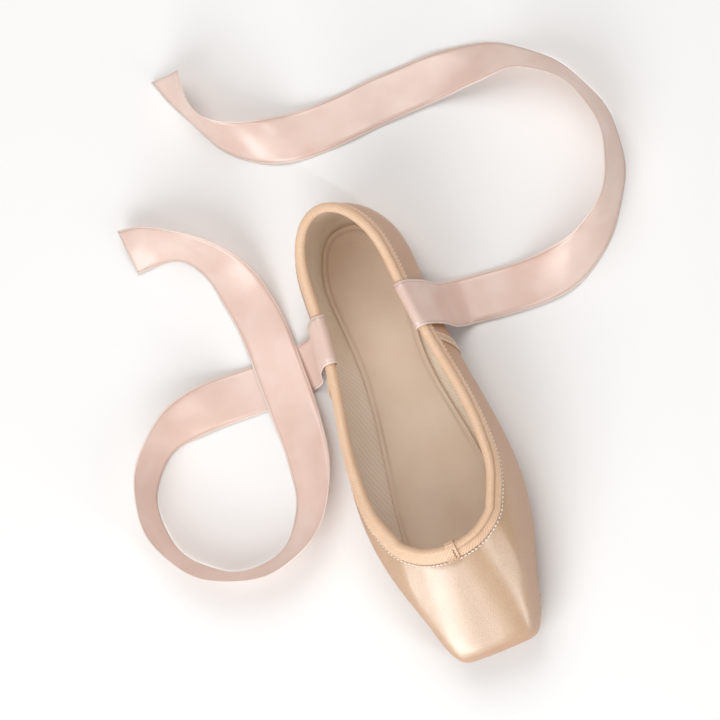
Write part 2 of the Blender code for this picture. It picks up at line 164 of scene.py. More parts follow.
def conic(start: Array, corner: Array, end: Array, weight: Array, u: Array) -> Array:
    """Draws a curve that leaves and arrives towards a corner.

    Args:
        start: First point.
        corner: Point that the curve bends round.
        end: Last point.
        weight: How closely the curve hugs its corner.
        u: Share of the way.

    Returns:
        Points of the curve.
    """
    u, weight = np.clip(u, 0, 1)[..., None], weight[..., None]
    a, b, c = (1 - u) ** 2, 2 * weight * u * (1 - u), u**2
    return (a * start + b * corner + c * end) / (a + b + c)


@dataclass
class Last:
    """The form that the shoe is lasted on: rings round the shoe, and ribs from sole to collar."""

    length: float = 0.232
    ball_width: float = 0.080
    platform_width: float = 0.044
    waist_width: float = 0.065
    heel_width: float = 0.058
    platform_height: float = 0.027
    instep_height: float = 0.050
    side_height: float = 0.041
    heel_height: float = 0.057
    vamp_length: float = 0.050
    heel_lean: float = 0.006
    widest_height: float = 0.016
    feather_rise: float = 0.0006
    throat_width: float = 0.065
    collar_waist_width: float = 0.053
    collar_heel_width: float = 0.044
    sole_front: float = 0.019
    sole_back: float = 0.0055
    sole_ball_width: float = 0.057
    sole_waist_width: float = 0.037
    sole_heel_width: float = 0.042
    sole_thickness: float = 0.002
    toe_spring: float = 0.0038
    spring_start: float = 0.045
    arch_height: float = 0.0045
    arch_front: float = 0.105
    arch_back: float = 0.190
    wall: float = 0.002
    gap: float = 0.0003
    sole_overlap: float = 0.0015
    lasting_margin: float = 0.009
    around: float = field(init=False)
    half: float = field(init=False)
    outline: Curve = field(init=False)
    sole: Curve = field(init=False)
    collar: Curve = field(init=False)
    form: Curve = field(init=False)

    def __post_init__(self) -> None:
        """Draws the rings through the rows."""
        outline = self.outline_rows()
        loop = both_sides(outline, mirrored=True)
        steps = np.linalg.norm(np.roll(loop, -1, 0) - loop, axis=1)
        self.around = float(steps.sum())
        self.half = self.around / 2
        knots = np.concatenate([[0], np.cumsum(steps)[:-1]])
        self.outline = spline(knots, loop, self.around)
        self.sole = spline(knots, both_sides(self.sole_rows(), mirrored=True), self.around)
        self.collar = spline(knots, both_sides(self.collar_rows(), mirrored=True), self.around)
        self.form = spline(knots, both_sides(self.form_rows()), self.around)

    def outline_rows(self) -> Array:
        """Lays out the widest line.

        Returns:
            Half width and y, row by row from toe to heel.
        """
        toe, ball, waist, heel = self.platform_width, self.ball_width, self.waist_width, self.heel_width
        rows = (
            (0.0, toe, 0.0),
            (0.0011, toe, 0.58),
            (0.0070, toe, 0.86),
            (0.027, toe, 1.02),
            (0.095, ball, 0.685),
            (0.194, ball, 0.865),
            (0.345, ball, 1.0),
            (0.483, ball, 0.935),
            (0.629, waist, 1.0),
            (0.802, heel, 1.0),
            (0.914, heel, 0.885),
            (0.974, heel, 0.56),
            (1.0, heel, 0.0),
        )
        return np.array([(wide * share / 2, (along - 0.5) * self.length) for along, wide, share in rows])

    def sole_rows(self) -> Array:
        """Lays out the sole's edge.

        Returns:
            Half width and y, row by row from front to back.
        """
        long = self.length - self.sole_front - self.sole_back
        front = self.sole_front - self.length / 2
        ball, waist, heel = self.sole_ball_width, self.sole_waist_width, self.sole_heel_width
        rows = (
            (0.0, ball, 0.0),
            (0.005, ball, 0.25),
            (0.017, ball, 0.44),
            (0.039, ball, 0.63),
            (0.082, ball, 0.83),
            (0.164, ball, 0.99),
            (0.304, ball, 0.985),
            (0.453, waist, 1.27),
            (0.612, waist, 1.02),
            (0.795, heel, 0.99),
            (0.906, heel, 0.93),
            (0.976, heel, 0.58),
            (1.0, heel, 0.0),
        )
        return np.array([(wide * share / 2, front + along * long) for along, wide, share in rows])

    def collar_rows(self) -> Array:
        """Lays out the collar's edge.

        Returns:
            Half width, y and height, row by row from throat to heel.
        """
        opening = self.length - self.vamp_length - self.heel_lean
        throat, waist, heel = self.throat_width, self.collar_waist_width, self.collar_heel_width
        instep, side, back = self.instep_height, self.side_height, self.heel_height
        rows = (
            (0.0, throat, 0.0, instep, 1.0),
            (0.006, throat, 0.27, instep, 0.994),
            (0.019, throat, 0.46, instep, 0.982),
            (0.040, throat, 0.62, instep, 0.966),
            (0.076, throat, 0.775, instep, 0.943),
            (0.142, throat, 0.910, instep, 0.910),
            (0.237, throat, 0.993, side, 1.070),
            (0.376, throat, 0.967, side, 1.022),
            (0.543, waist, 1.0, side, 1.0),
            (0.759, heel, 1.0, side, 1.075),
            (0.898, heel, 0.85, back, 0.87),
            (0.970, heel, 0.52, back, 0.965),
            (1.0, heel, 0.0, back, 1.0),
        )
        start = self.vamp_length - self.length / 2
        return np.array(
            [
                (wide * share / 2, start + along * opening, high * lift)
                for along, wide, share, high, lift in rows
            ]
        )

    def form_rows(self) -> Array:
        """Lays out the ribs.

        Returns:
            Shoulder height, widest height and how sharp the upper and lower bend are, row by row.
        """
        platform, instep = self.platform_height, self.instep_height
        side, heel, widest = self.side_height, self.heel_height, self.widest_height
        return np.array(
            (
                (platform * 1.0, widest * 0.94, 5.0, 3.6),
                (platform * 1.0, widest * 0.94, 4.6, 3.4),
                (platform * 1.0, widest * 0.94, 3.6, 2.8),
                (platform * 1.06, widest * 0.94, 2.4, 2.1),
                (instep * 0.70, widest, 1.6, 1.5),
                (instep * 0.75, widest, 1.3, 1.3),
                (instep * 0.70, widest, 1.05, 1.2),
                (side * 0.76, widest, 0.95, 1.2),
                (side * 0.68, widest * 1.06, 0.9, 1.2),
                (side * 0.70, widest * 1.06, 0.9, 1.25),
                (heel * 0.58, widest * 1.08, 0.95, 1.3),
                (heel * 0.62, widest * 1.1, 1.0, 1.35),
                (heel * 0.64, widest * 1.1, 1.0, 1.4),
            )
        )

    def lift(self, y: Array) -> Array:
        """Finds the height of the sole's underside: toe spring in front, the arch at the waist.

        Args:
            y: Places along the shoe.

        Returns:
            The heights.
        """
        along = np.asarray(y, float) + self.length / 2
        spring = np.clip((self.spring_start - along) / self.spring_start, 0, 1) ** 2
        arch = np.clip((along - self.arch_front) / (self.arch_back - self.arch_front), 0, 1)
        return self.toe_spring * spring + self.arch_height * np.sin(math.pi * arch) ** 2

    def sole_ring(self, s: Array, inset: Array | float) -> Array:
        """Moves the sole's edge inwards.

        Args:
            s: Places round the shoe.
            inset: How far to move it.

        Returns:
            Plan points.
        """
        small = self.around * 1e-4
        run = unit(self.sole(s + small) - self.sole(s - small))
        inwards = np.stack([-run[..., 1], run[..., 0]], -1)
        return self.sole(s) + inwards * np.asarray(inset)[..., None]

    def under(self, plan: Array) -> Array:
        """Returns plan points set on the underside of the upper."""
        height = self.lift(plan[..., 1]) + self.sole_thickness + self.gap
        return np.concatenate([plan, height[..., None]], -1)

    def point(self, s: Array, t: Array) -> Array:
        """Finds the outer surface of the upper.

        Args:
            s: Place round the shoe, in metres from the toe's middle.
            t: -1 to 0 under the sole, 1 at the widest line, 2 at the collar.

        Returns:
            Points of the surface.
        """
        s, t = np.broadcast_arrays(np.asarray(s, float), np.asarray(t, float))
        margin = self.under(self.sole_ring(s, self.sole_overlap + self.lasting_margin))
        bottom = self.under(self.sole_ring(s, self.sole_overlap))
        plan, collar, form = self.outline(s), self.collar(s), self.form(s)
        feather = self.under(plan) + np.array([0, 0, self.feather_rise])
        widest = np.concatenate([plan, form[..., 1:2]], -1)
        shoulder = np.concatenate([plan, form[..., 0:1]], -1)
        flat = margin + (bottom - margin) * (t[..., None] + 1)
        low = conic(bottom, feather, widest, form[..., 3], t)
        top = conic(widest, shoulder, collar, form[..., 2], t - 1)
        return np.where(t[..., None] < 0, flat, np.where(t[..., None] < 1, low, top))

    def normal(self, s: Array, t: Array) -> Array:
        """Finds which way the upper's outer surface faces.

        Args:
            s: Places round the shoe.
            t: Places up the ribs.

        Returns:
            Unit vectors.
        """
        s, t = np.broadcast_arrays(np.asarray(s, float), np.asarray(t, float))
        ds, dt = self.around * 2e-4, 1e-3
        along = self.point(s + ds, t) - self.point(s - ds, t)
        up = self.point(s, np.clip(t + dt, -1, 2)) - self.point(s, np.clip(t - dt, -1, 2))
        return unit(np.cross(along, up))

    def below_collar(self, s: Array, distances: Array) -> Array:
        """Walks down the surface from the collar, square to its edge.

        Args:
            s: Places along the collar.
            distances: How far to walk, in metres.

        Returns:
            The places s and t that are reached, as an array of 2 x places x distances.
        """
        ds, dt, stride = self.around * 2e-4, 1e-3, 0.0003
        at = np.stack([s, np.full(len(s), 2.0)])
        edge = unit(self.point(s + ds, 2.0) - self.point(s - ds, 2.0))
        trail = [at]
        for _ in range(math.ceil(max(distances) / stride) + 1):
            along = (self.point(at[0] + ds, at[1]) - self.point(at[0] - ds, at[1])) / (2 * ds)
            up = (self.point(at[0], at[1]) - self.point(at[0], at[1] - dt)) / dt
            down = np.cross(edge, unit(np.cross(along, up))) * stride
            axes = np.stack([along, up], -1)
            wanted = np.einsum("nij,ni->nj", axes, down)[..., None]
            move = np.linalg.solve(np.swapaxes(axes, 1, 2) @ axes, wanted)
            at = at + move[..., 0].T
            trail.append(at)
        lines = np.moveaxis(np.array(trail), 0, -1)
        travelled = stride * np.arange(lines.shape[-1])
        return np.array([[np.interp(distances, travelled, line) for line in group] for group in lines])

    def place_of(self, ring: Curve, along: float) -> float:
        """Returns the place on the +X side where a ring is this far from the toe."""
        s = np.linspace(0, self.half, SAMPLES)
        return float(np.interp(along - self.length / 2, ring(s)[:, 1], s))


def srgb(hex_colour: str) -> tuple[float, float, float, float]:
    """Turns an sRGB hex colour into linear light.

    Args:
        hex_colour: A colour such as "#E9C7AA".

    Returns:
        Linear red, green, blue and an alpha of 1.
    """
    values = [int(hex_colour[i : i + 2], 16) / 255 for i in (1, 3, 5)]
    red, green, blue = (v / 12.92 if v <= 0.04045 else ((v + 0.055) / 1.055) ** 2.4 for v in values)
    return red, green, blue, 1.0


def add_node(
    tree: Tree,
    kind: str,
    settings: dict[str, object] | None = None,
    inputs: dict[str | int, object] | None = None,
) -> bpy.types.Node:
    """Adds a node with its settings, values and links.

    Args:
        tree: The node tree.
        kind: Type of the node, such as "ShaderNodeBump".
        settings: Properties of the node by name.
        inputs: Values or output sockets by the name or number of the input.

    Returns:
        The node.
    """
    node = tree.nodes.new(kind)
    for name, value in (settings or {}).items():
        setattr(node, name, value)
    for name, value in (inputs or {}).items():
        if isinstance(value, Socket):
            tree.links.new(value, node.inputs[name])
        else:
            node.inputs[name].default_value = value
    return node


class Shade(NamedTuple):
    """A material under construction: the material, its node tree and its shader."""

    material: bpy.types.Material
    tree: Tree
    shader: bpy.types.Node

    def drive(self, **values: Socket) -> None:
        """Links values to the shader's inputs, such as base_color to Base Color."""
        for name, value in values.items():
            self.tree.links.new(value, self.shader.inputs[name.replace("_", " ").title()])


class Bump(NamedTuple):
    """One layer of relief: its height, how deep it is in millimetres and how strongly it shows."""

    height: Socket
    depth: float
    strength: float


def start_material(name: str, values: dict[str, object]) -> Shade:
    """Starts a Principled material.

    Args:
        name: What the surface is made of and how.
        values: Uniform values, set on the shader's own sockets.

    Returns:
        The material with its tree and shader.
    """
    made = bpy.data.materials.new(name)
    made.use_nodes = True
    shader = made.node_tree.nodes["Principled BSDF"]
    for socket, value in values.items():
        shader.inputs[socket].default_value = value
    return Shade(made, made.node_tree, shader)


def coordinates(tree: Tree, kind: str = "Object") -> Socket:
    """Returns Object or UV coordinates."""
    return add_node(tree, "ShaderNodeTexCoord").outputs[kind]


def painted(tree: Tree, name: str) -> Socket:
    """Returns a value that was painted on the mesh."""
    return add_node(tree, "ShaderNodeAttribute", {"attribute_name": name}).outputs["Fac"]


def stretched(tree: Tree, source: Socket, scale: Point, turn: float = 0.0) -> Socket:
    """Scales coordinates for a pattern and turns them about Z.

    Args:
        tree: The node tree.
        source: Coordinates.
        scale: Scale on each axis, below 1 to draw the pattern out.
        turn: Angle in radians.

    Returns:
        The new coordinates.
    """
    inputs = {"Vector": source, "Scale": scale, "Rotation": (0.0, 0.0, turn)}
    return add_node(tree, "ShaderNodeMapping", inputs=inputs).outputs[0]


def noise(tree: Tree, place: Socket, size: float, detail: float = 3.0) -> Socket:
    """Makes a noise.

    Args:
        tree: The node tree.
        place: Coordinates in metres.
        size: Size of its patches in millimetres.
        detail: How many finer layers it has.

    Returns:
        Its height, 0 to 1.
    """
    inputs = {"Vector": place, "Scale": 1 / (size * MM), "Detail": detail}
    return add_node(tree, "ShaderNodeTexNoise", inputs=inputs).outputs[0]


def waves(
    tree: Tree,
    place: Socket,
    pitch: float,
    direction: str = "X",
    distortion: float = 1.0,
    detail: float = 1.0,
    finer: float = 1.0,
) -> Socket:
    """Makes parallel ridges. The node draws 20 radians for each unit of its scale.

    Args:
        tree: The node tree.
        place: Coordinates in metres.
        pitch: Distance between ridges in millimetres.
        direction: Axis that the ridges follow each other along.
        distortion: How much they waver.
        detail: How many finer layers the wavering has.
        finer: How much finer the wavering is than the ridges.

    Returns:
        Their height, 0 to 1.
    """
    inputs = {"Vector": place, "Scale": 2 * math.pi / (20 * pitch * MM), "Distortion": distortion}
    inputs |= {"Detail": detail, "Detail Scale": finer}
    return add_node(tree, "ShaderNodeTexWave", {"bands_direction": direction}, inputs).outputs["Fac"]


def axes(tree: Tree, place: Socket) -> bpy.types.bpy_prop_collection:
    """Returns the X, Y and Z of coordinates."""
    return add_node(tree, "ShaderNodeSeparateXYZ", inputs={0: place}).outputs


def blend_colours(tree: Tree, share: Value, first: Colour, second: Colour) -> Socket:
    """Mixes two colours.

    Args:
        tree: The node tree.
        share: Share of the second colour.
        first: First colour, a hex string or a socket.
        second: Second colour.

    Returns:
        The mix.
    """
    first, second = (srgb(colour) if isinstance(colour, str) else colour for colour in (first, second))
    inputs = {"Factor": share, 6: first, 7: second}
    return add_node(tree, "ShaderNodeMix", {"data_type": "RGBA"}, inputs).outputs[2]


def ramp(tree: Tree, value: Value, low: float, high: float, start: float = 0.0, end: float = 1.0) -> Socket:
    """Maps a value softly.

    Args:
        tree: The node tree.
        value: The value.
        low: Where it begins to count.
        high: Where it counts in full.
        start: Result at low.
        end: Result at high.

    Returns:
        The mapped value.
    """
    inputs = {"Value": value, "From Min": low, "From Max": high, "To Min": start, "To Max": end}
    return add_node(tree, "ShaderNodeMapRange", {"interpolation_type": "SMOOTHSTEP"}, inputs).outputs[0]


def maths(tree: Tree, kind: str, first: Value, second: Value = 0.0) -> Socket:
    """Returns the result of one sum on two values."""
    return add_node(tree, "ShaderNodeMath", {"operation": kind}, {0: first, 1: second}).outputs[0]


def relieve(shade: Shade, *layers: Bump) -> bpy.types.Material:
    """Lays bumps over each other on a shader, the broadest first.

    Args:
        shade: The material under construction.
        layers: Its bumps.

    Returns:
        The finished material.
    """
    inputs: dict[str, object] = {}
    for layer in layers:
        inputs |= {"Height": layer.height, "Distance": layer.depth * MM, "Strength": layer.strength}
        inputs["Normal"] = add_node(shade.tree, "ShaderNodeBump", inputs=inputs).outputs[0]
    shade.drive(normal=inputs["Normal"])
    return shade.material


@dataclass(frozen=True)
class DuchessSatin:
    """Heavy polyester satin, woven with long floats and lasted tight: broad soft highlights."""

    name: str = "duchess_satin_woven"
    body: str = "#C0905F"
    shade_colour: str = "#B07032"
    pale: str = "#C99C6D"
    lit_float: str = "#E6BD8F"
    worn: str = "#A8907E"
    roughness: float = 0.40
    cloud_size_mm: float = 26.316
    slub_size_mm: float = 2.38095
    weft_size_mm: float = 0.9
    float_size_mm: float = 0.43478

    def material(self) -> bpy.types.Material:
        """Makes the satin. Its real weft is 0.1 mm, too fine to show, so it is drawn near 1 mm.

        Returns:
            The material, darker where "shade" is painted and dull where "scuff" is.
        """
        shade = start_material(
            self.name,
            {
                "Roughness": self.roughness,
                "IOR": 2.1,
                "Specular IOR Level": 1.0,
                "Anisotropic": 0.65,
                "Anisotropic Rotation": 0.25,
                "Sheen Weight": 0.15,
                "Sheen Roughness": 0.45,
                "Sheen Tint": srgb("#FFE9D2"),
            },
        )
        tree = shade.tree
        around = add_node(tree, "ShaderNodeTangent", {"direction_type": "UV_MAP", "uv_map": "chart"})
        place = coordinates(tree)
        cloud = noise(tree, place, self.cloud_size_mm)
        slub = noise(tree, stretched(tree, place, (0.2, 1.0, 0.2)), self.slub_size_mm)
        weft = noise(tree, stretched(tree, place, (0.06, 1.0, 0.06)), self.weft_size_mm, 2.0)
        slanted = stretched(tree, place, (1.0, 0.5, 0.8), math.radians(32))
        floats = noise(tree, slanted, self.float_size_mm, 1.0)
        scuff = painted(tree, "scuff")
        colour = blend_colours(tree, ramp(tree, cloud, 0.35, 0.7, 0.0, 0.55), self.body, self.pale)
        colour = blend_colours(tree, ramp(tree, floats, 0.35, 0.65, 0.0, 0.30), colour, self.lit_float)
        # Painted shade: the satin is darkened where "shade" is painted, on its steep low sides, in the
        # troughs of its creases and in the seams' ditches
        shaded = maths(tree, "MULTIPLY", painted(tree, "shade"), 0.8)
        colour = blend_colours(tree, shaded, colour, self.shade_colour)
        colour = blend_colours(tree, scuff, colour, self.worn)
        rough = maths(tree, "ADD", ramp(tree, slub, 0.3, 0.7, -0.015, 0.02), self.roughness)
        rough = maths(tree, "ADD", ramp(tree, floats, 0.3, 0.7, 0.03, -0.03), rough)
        rough = maths(tree, "ADD", rough, maths(tree, "MULTIPLY", scuff, 0.3))
        shade.drive(base_color=colour, roughness=rough, tangent=around.outputs[0])
        return relieve(
            shade,
            Bump(cloud, 1.0, 0.10),
            Bump(slub, 0.10, 0.10),
            Bump(weft, 0.08, 0.6),
            Bump(floats, 0.10, 0.75),
        )


@dataclass(frozen=True)
class BiasTwill:
    """Cotton twill cut on the bias: matt, with fine slanting ridges."""

    name: str = "bias_cut_cotton_twill"
    body: str = "#E9C09C"
    pale: str = "#EDC9A9"
    shadow: str = "#BA845E"
    hole: str = "#7A5238"
    ridge_pitch_mm: float = 1.18435
    ridge_turn: float = 38.0
    fuzz_size_mm: float = 1.1111
    patch_size_mm: float = 11.111
    hole_pitch: float = 0.00205
    hole_reach: tuple[float, float] = (0.0009, 0.0004)

    def material(self) -> bpy.types.Material:
        """Makes the twill. Its real ridges are 0.3 mm apart, too fine to show, and are drawn coarser.

        Returns:
            The material, shadowed where "groove" is painted, with needle holes at the chart's edge.
        """
        shade = start_material(
            self.name,
            {
                "Roughness": 0.52,
                "IOR": 1.5,
                "Specular IOR Level": 0.9,
                "Sheen Weight": 0.3,
                "Sheen Roughness": 0.5,
                "Sheen Tint": srgb("#FFE3CC"),
            },
        )
        tree = shade.tree
        place, chart = coordinates(tree), coordinates(tree, "UV")
        turned = stretched(tree, chart, (1.0, 1.0, 1.0), math.radians(self.ridge_turn))
        ridges = waves(tree, turned, self.ridge_pitch_mm, distortion=1.2, finer=2.0)
        fuzz = noise(tree, place, self.fuzz_size_mm, 2.0)
        patch = noise(tree, place, self.patch_size_mm, 2.0)
        groove = maths(tree, "MULTIPLY", painted(tree, "groove"), 0.8)
        along, below, _ = axes(tree, chart)
        turns = maths(tree, "COSINE", maths(tree, "MULTIPLY", along, 2 * math.pi / self.hole_pitch))
        holes = maths(tree, "MULTIPLY", ramp(tree, turns, 0.35, 0.85), ramp(tree, below, *self.hole_reach))
        colour = blend_colours(tree, ramp(tree, patch, 0.3, 0.7, 0.0, 0.4), self.body, self.pale)
        colour = blend_colours(tree, ramp(tree, ridges, 0.0, 0.45, 0.13, 0.0), colour, self.shadow)
        # Painted shade in the binding's groove and along its lower edge
        colour = blend_colours(tree, groove, colour, self.shadow)
        colour = blend_colours(tree, maths(tree, "MULTIPLY", holes, 0.85), colour, self.hole)
        shade.drive(base_color=colour)
        return relieve(shade, Bump(patch, 0.8, 0.3), Bump(ridges, 0.18, 0.6), Bump(fuzz, 0.1, 0.4))


@dataclass(frozen=True)
class CottonDrill:
    """Undyed cotton drill, woven and glued to the canvas: dull cream with slanting ribs."""

    name: str = "undyed_cotton_drill_woven"
    body: str = "#ECDCC9"
    stained: str = "#DFC9AE"
    shadow: str = "#C9B19A"
    rib_pitch_mm: float = 1.57914
    rib_turn: float = 58.0
    fuzz_size_mm: float = 0.90909
    stain_size_mm: float = 22.222

    def material(self) -> bpy.types.Material:
        """Makes the lining, with the faint yellow of dried paste in places.

        Returns:
            The material.
        """
        shade = start_material(
            self.name,
            {"Roughness": 0.88, "IOR": 1.5, "Sheen Weight": 0.2, "Sheen Roughness": 0.6},
        )
        tree = shade.tree
        place = coordinates(tree)
        turned = stretched(tree, coordinates(tree, "UV"), (1.0, 1.0, 1.0), math.radians(self.rib_turn))
        ribs = waves(tree, turned, self.rib_pitch_mm)
        fuzz = noise(tree, place, self.fuzz_size_mm, 2.0)
        stain = noise(tree, place, self.stain_size_mm)
        colour = blend_colours(tree, ramp(tree, stain, 0.4, 0.75, 0.0, 0.6), self.body, self.stained)
        colour = blend_colours(tree, ramp(tree, ribs, 0.0, 0.4, 0.28, 0.0), colour, self.shadow)
        shade.drive(base_color=colour)
        return relieve(shade, Bump(stain, 0.8, 0.25), Bump(ribs, 0.18, 0.4), Bump(fuzz, 0.1, 0.4))


@dataclass(frozen=True)
class SuedeLeather:
    """Tan split leather, buffed on its flesh side: napped and dull, darker where it is pressed."""

    name: str = "tan_split_leather_buffed"
    body: str = "#B98767"
    pale: str = "#C79C7B"
    dark: str = "#8C6147"
    raw_edge: str = "#D9B48F"
    diamond_width: float = 0.0090
    diamond_length: float = 0.0125
    score_width: float = 0.00055
    nap_size_mm: float = 1.42857
    brush_size_mm: float = 9.0909
    patch_size_mm: float = 33.333
    pore_size_mm: float = 1.92308

    def scores(self, tree: Tree, place: Socket) -> Socket:
        """Draws the diamond scoring.

        Args:
            tree: The node tree.
            place: Object coordinates.

        Returns:
            1 in the middle of a scored line and 0 beside it, where "scored" is painted.
        """
        width, length = self.diamond_width, self.diamond_length
        across, along, _ = axes(tree, place)
        pitch = width * length / math.hypot(width, length)
        lines = []
        for sign in (1, -1):
            part = maths(tree, "MULTIPLY", along, sign / length)
            phase = maths(tree, "ADD", maths(tree, "MULTIPLY", across, 1 / width), part)
            away = maths(tree, "MULTIPLY", maths(tree, "PINGPONG", phase, 0.5), pitch)
            lines.append(ramp(tree, away, 0.0, self.score_width, 1.0, 0.0))
        return maths(tree, "MULTIPLY", maths(tree, "MAXIMUM", *lines), painted(tree, "scored"))

    def material(self) -> bpy.types.Material:
        """Makes the leather.

        Returns:
            The material, dark where "groove" is painted and pale where "edge" is, on the cut edge.
        """
        shade = start_material(
            self.name,
            {
                "Roughness": 0.85,
                "IOR": 1.48,
                "Sheen Weight": 0.3,
                "Sheen Roughness": 0.55,
                "Sheen Tint": srgb("#E8C6A6"),
            },
        )
        tree = shade.tree
        place = coordinates(tree)
        nap = noise(tree, place, self.nap_size_mm, 4.0)
        brushed = noise(tree, stretched(tree, place, (1.0, 0.7, 1.0)), self.brush_size_mm, 5.0)
        patch = noise(tree, place, self.patch_size_mm)
        inputs = {"Vector": place, "Scale": 1 / (self.pore_size_mm * MM)}
        pores = add_node(tree, "ShaderNodeTexVoronoi", inputs=inputs).outputs[0]
        scores = self.scores(tree, place)
        groove = maths(tree, "MULTIPLY", painted(tree, "groove"), 0.7)
        edge = maths(tree, "MULTIPLY", painted(tree, "edge"), 0.6)
        colour = blend_colours(tree, ramp(tree, patch, 0.35, 0.7), self.body, self.pale)
        colour = blend_colours(tree, ramp(tree, brushed, 0.45, 0.75, 0.0, 0.35), colour, self.dark)
        colour = blend_colours(tree, groove, colour, self.dark)
        colour = blend_colours(tree, maths(tree, "MULTIPLY", scores, 0.75), colour, self.dark)
        colour = blend_colours(tree, edge, colour, self.raw_edge)
        shade.drive(base_color=colour)
        uncut = maths(tree, "SUBTRACT", 1.0, scores)
        return relieve(
            shade,
            Bump(brushed, 0.4, 0.35),
            Bump(pores, 0.2, 0.25),
            Bump(uncut, 0.4, 0.8),
            Bump(nap, 0.25, 0.6),
        )


@dataclass(frozen=True)
class SockCanvas:
    """Plain-woven cotton sock over the insole board: flat, pale, slightly rubbed."""

    name: str = "cotton_sock_plain_woven"
    body: str = "#E4CFBA"
    rubbed: str = "#D6BCA2"
    shadow: str = "#B99E86"
    thread_pitch_mm: float = 1.38174
    fuzz_size_mm: float = 0.90909
    rub_size_mm: float = 25.0

    def material(self) -> bpy.types.Material:
        """Makes the sock. Its threads run along and across the shoe, drawn at twice their real pitch.

        Returns:
            The material, shadowed where "groove" is painted.
        """
        shade = start_material(
            self.name,
            {"Roughness": 0.9, "IOR": 1.5, "Sheen Weight": 0.2, "Sheen Roughness": 0.6},
        )
        tree = shade.tree
        place = coordinates(tree)
        threads = [waves(tree, place, self.thread_pitch_mm, direction, 0.8) for direction in ("X", "Y")]
        weave = maths(tree, "MULTIPLY", *threads)
        fuzz = noise(tree, place, self.fuzz_size_mm, 2.0)
        rub = noise(tree, place, self.rub_size_mm)
        groove = maths(tree, "MULTIPLY", painted(tree, "groove"), 0.6)
        colour = blend_colours(tree, ramp(tree, rub, 0.35, 0.7, 0.0, 0.5), self.body, self.rubbed)
        colour = blend_colours(tree, ramp(tree, weave, 0.0, 0.35, 0.09, 0.0), colour, self.shadow)
        colour = blend_colours(tree, groove, colour, self.shadow)
        shade.drive(base_color=colour)
        return relieve(shade, Bump(rub, 0.6, 0.3), Bump(weave, 0.12, 0.28), Bump(fuzz, 0.1, 0.4))


@dataclass(frozen=True)
class RibbonSatin:
    """Thin double-face satin ribbon, woven with selvages: cool pink, glossier than the upper."""

    name: str = "satin_ribbon_woven"
    body: str = "#E6C5B5"
    pale: str = "#F0D6C9"
    ditch: str = "#C99684"
    edge: str = "#F3E2D6"
    roughness: float = 0.34
    half_width: float = 0.012
    selvage: float = 0.0008
    weft_size_mm: float = 0.76923
    warp_size_mm: float = 0.66667
    cloud_size_mm: float = 16.6667

    def material(self) -> bpy.types.Material:
        """Makes the ribbon. Its chart has the distance across in U and along in V, in metres.

        Returns:
            The material, with a duller, raised selvage at each edge and painted shade in a ditch beside it.
        """
        shade = start_material(
            self.name,
            {
                "Roughness": self.roughness,
                "IOR": 1.55,
                "Specular IOR Level": 0.9,
                "Sheen Weight": 0.2,
                "Sheen Roughness": 0.4,
                "Sheen Tint": srgb("#FFE6DC"),
            },
        )
        tree = shade.tree
        chart = coordinates(tree, "UV")
        weft = noise(tree, stretched(tree, chart, (0.05, 1.0, 1.0)), self.weft_size_mm, 2.0)
        warp = noise(tree, stretched(tree, chart, (1.0, 0.03, 1.0)), self.warp_size_mm, 2.0)
        cloud = noise(tree, coordinates(tree), self.cloud_size_mm, 2.0)
        from_middle = maths(tree, "ABSOLUTE", axes(tree, chart)[0])
        inner = self.half_width - self.selvage
        selvage = ramp(tree, from_middle, inner - 0.0002, inner + 0.0001)
        # Painted shade: a darker line in the ditch just inside each raised selvage
        beside = ramp(tree, from_middle, inner - 0.0009, inner - 0.0003)
        ditch = maths(tree, "MULTIPLY", beside, maths(tree, "SUBTRACT", 1.0, selvage))
        colour = blend_colours(tree, ramp(tree, cloud, 0.35, 0.7, 0.0, 0.6), self.body, self.pale)
        colour = blend_colours(tree, maths(tree, "MULTIPLY", ditch, 0.5), colour, self.ditch)
        colour = blend_colours(tree, maths(tree, "MULTIPLY", selvage, 0.8), colour, self.edge)
        rough = maths(tree, "ADD", self.roughness, maths(tree, "MULTIPLY", selvage, 0.25))
        shade.drive(base_color=colour, roughness=rough)
        return relieve(
            shade,
            Bump(selvage, 0.12, 0.7),
            Bump(cloud, 0.5, 0.25),
            Bump(weft, 0.06, 0.4),
            Bump(warp, 0.04, 0.3),
        )


@dataclass(frozen=True)
class SewingThread:
    """Twisted thread, pulled tight into the cloth, with slanting plies."""

    name: str
    body: str
    shadow: str = "#B98F68"
    ply_pitch_mm: float = 0.98696

    def material(self) -> bpy.types.Material:
        """Makes the thread. Its plies are drawn as slanting ridges in object space.

        Returns:
            The material.
        """
        shade = start_material(self.name, {"Roughness": 0.55, "IOR": 1.5, "Sheen Weight": 0.3})
        tree = shade.tree
        ply = waves(tree, coordinates(tree), self.ply_pitch_mm, "DIAGONAL", detail=2.0)
        between = ramp(tree, ply, 0.0, 0.6, 0.3, 0.0)
        shade.drive(base_color=blend_colours(tree, between, self.body, self.shadow))
        return relieve(shade, Bump(ply, 0.1, 0.6))


@dataclass(frozen=True)
class PaintedFloor:
    """Matt white studio floor."""

    name: str = "matt_white_floor"
    body: str = "#F7F5F2"

    def material(self) -> bpy.types.Material:
        """Makes the floor."""
        return start_material(self.name, {"Base Color": srgb(self.body), "Roughness": 0.9}).material


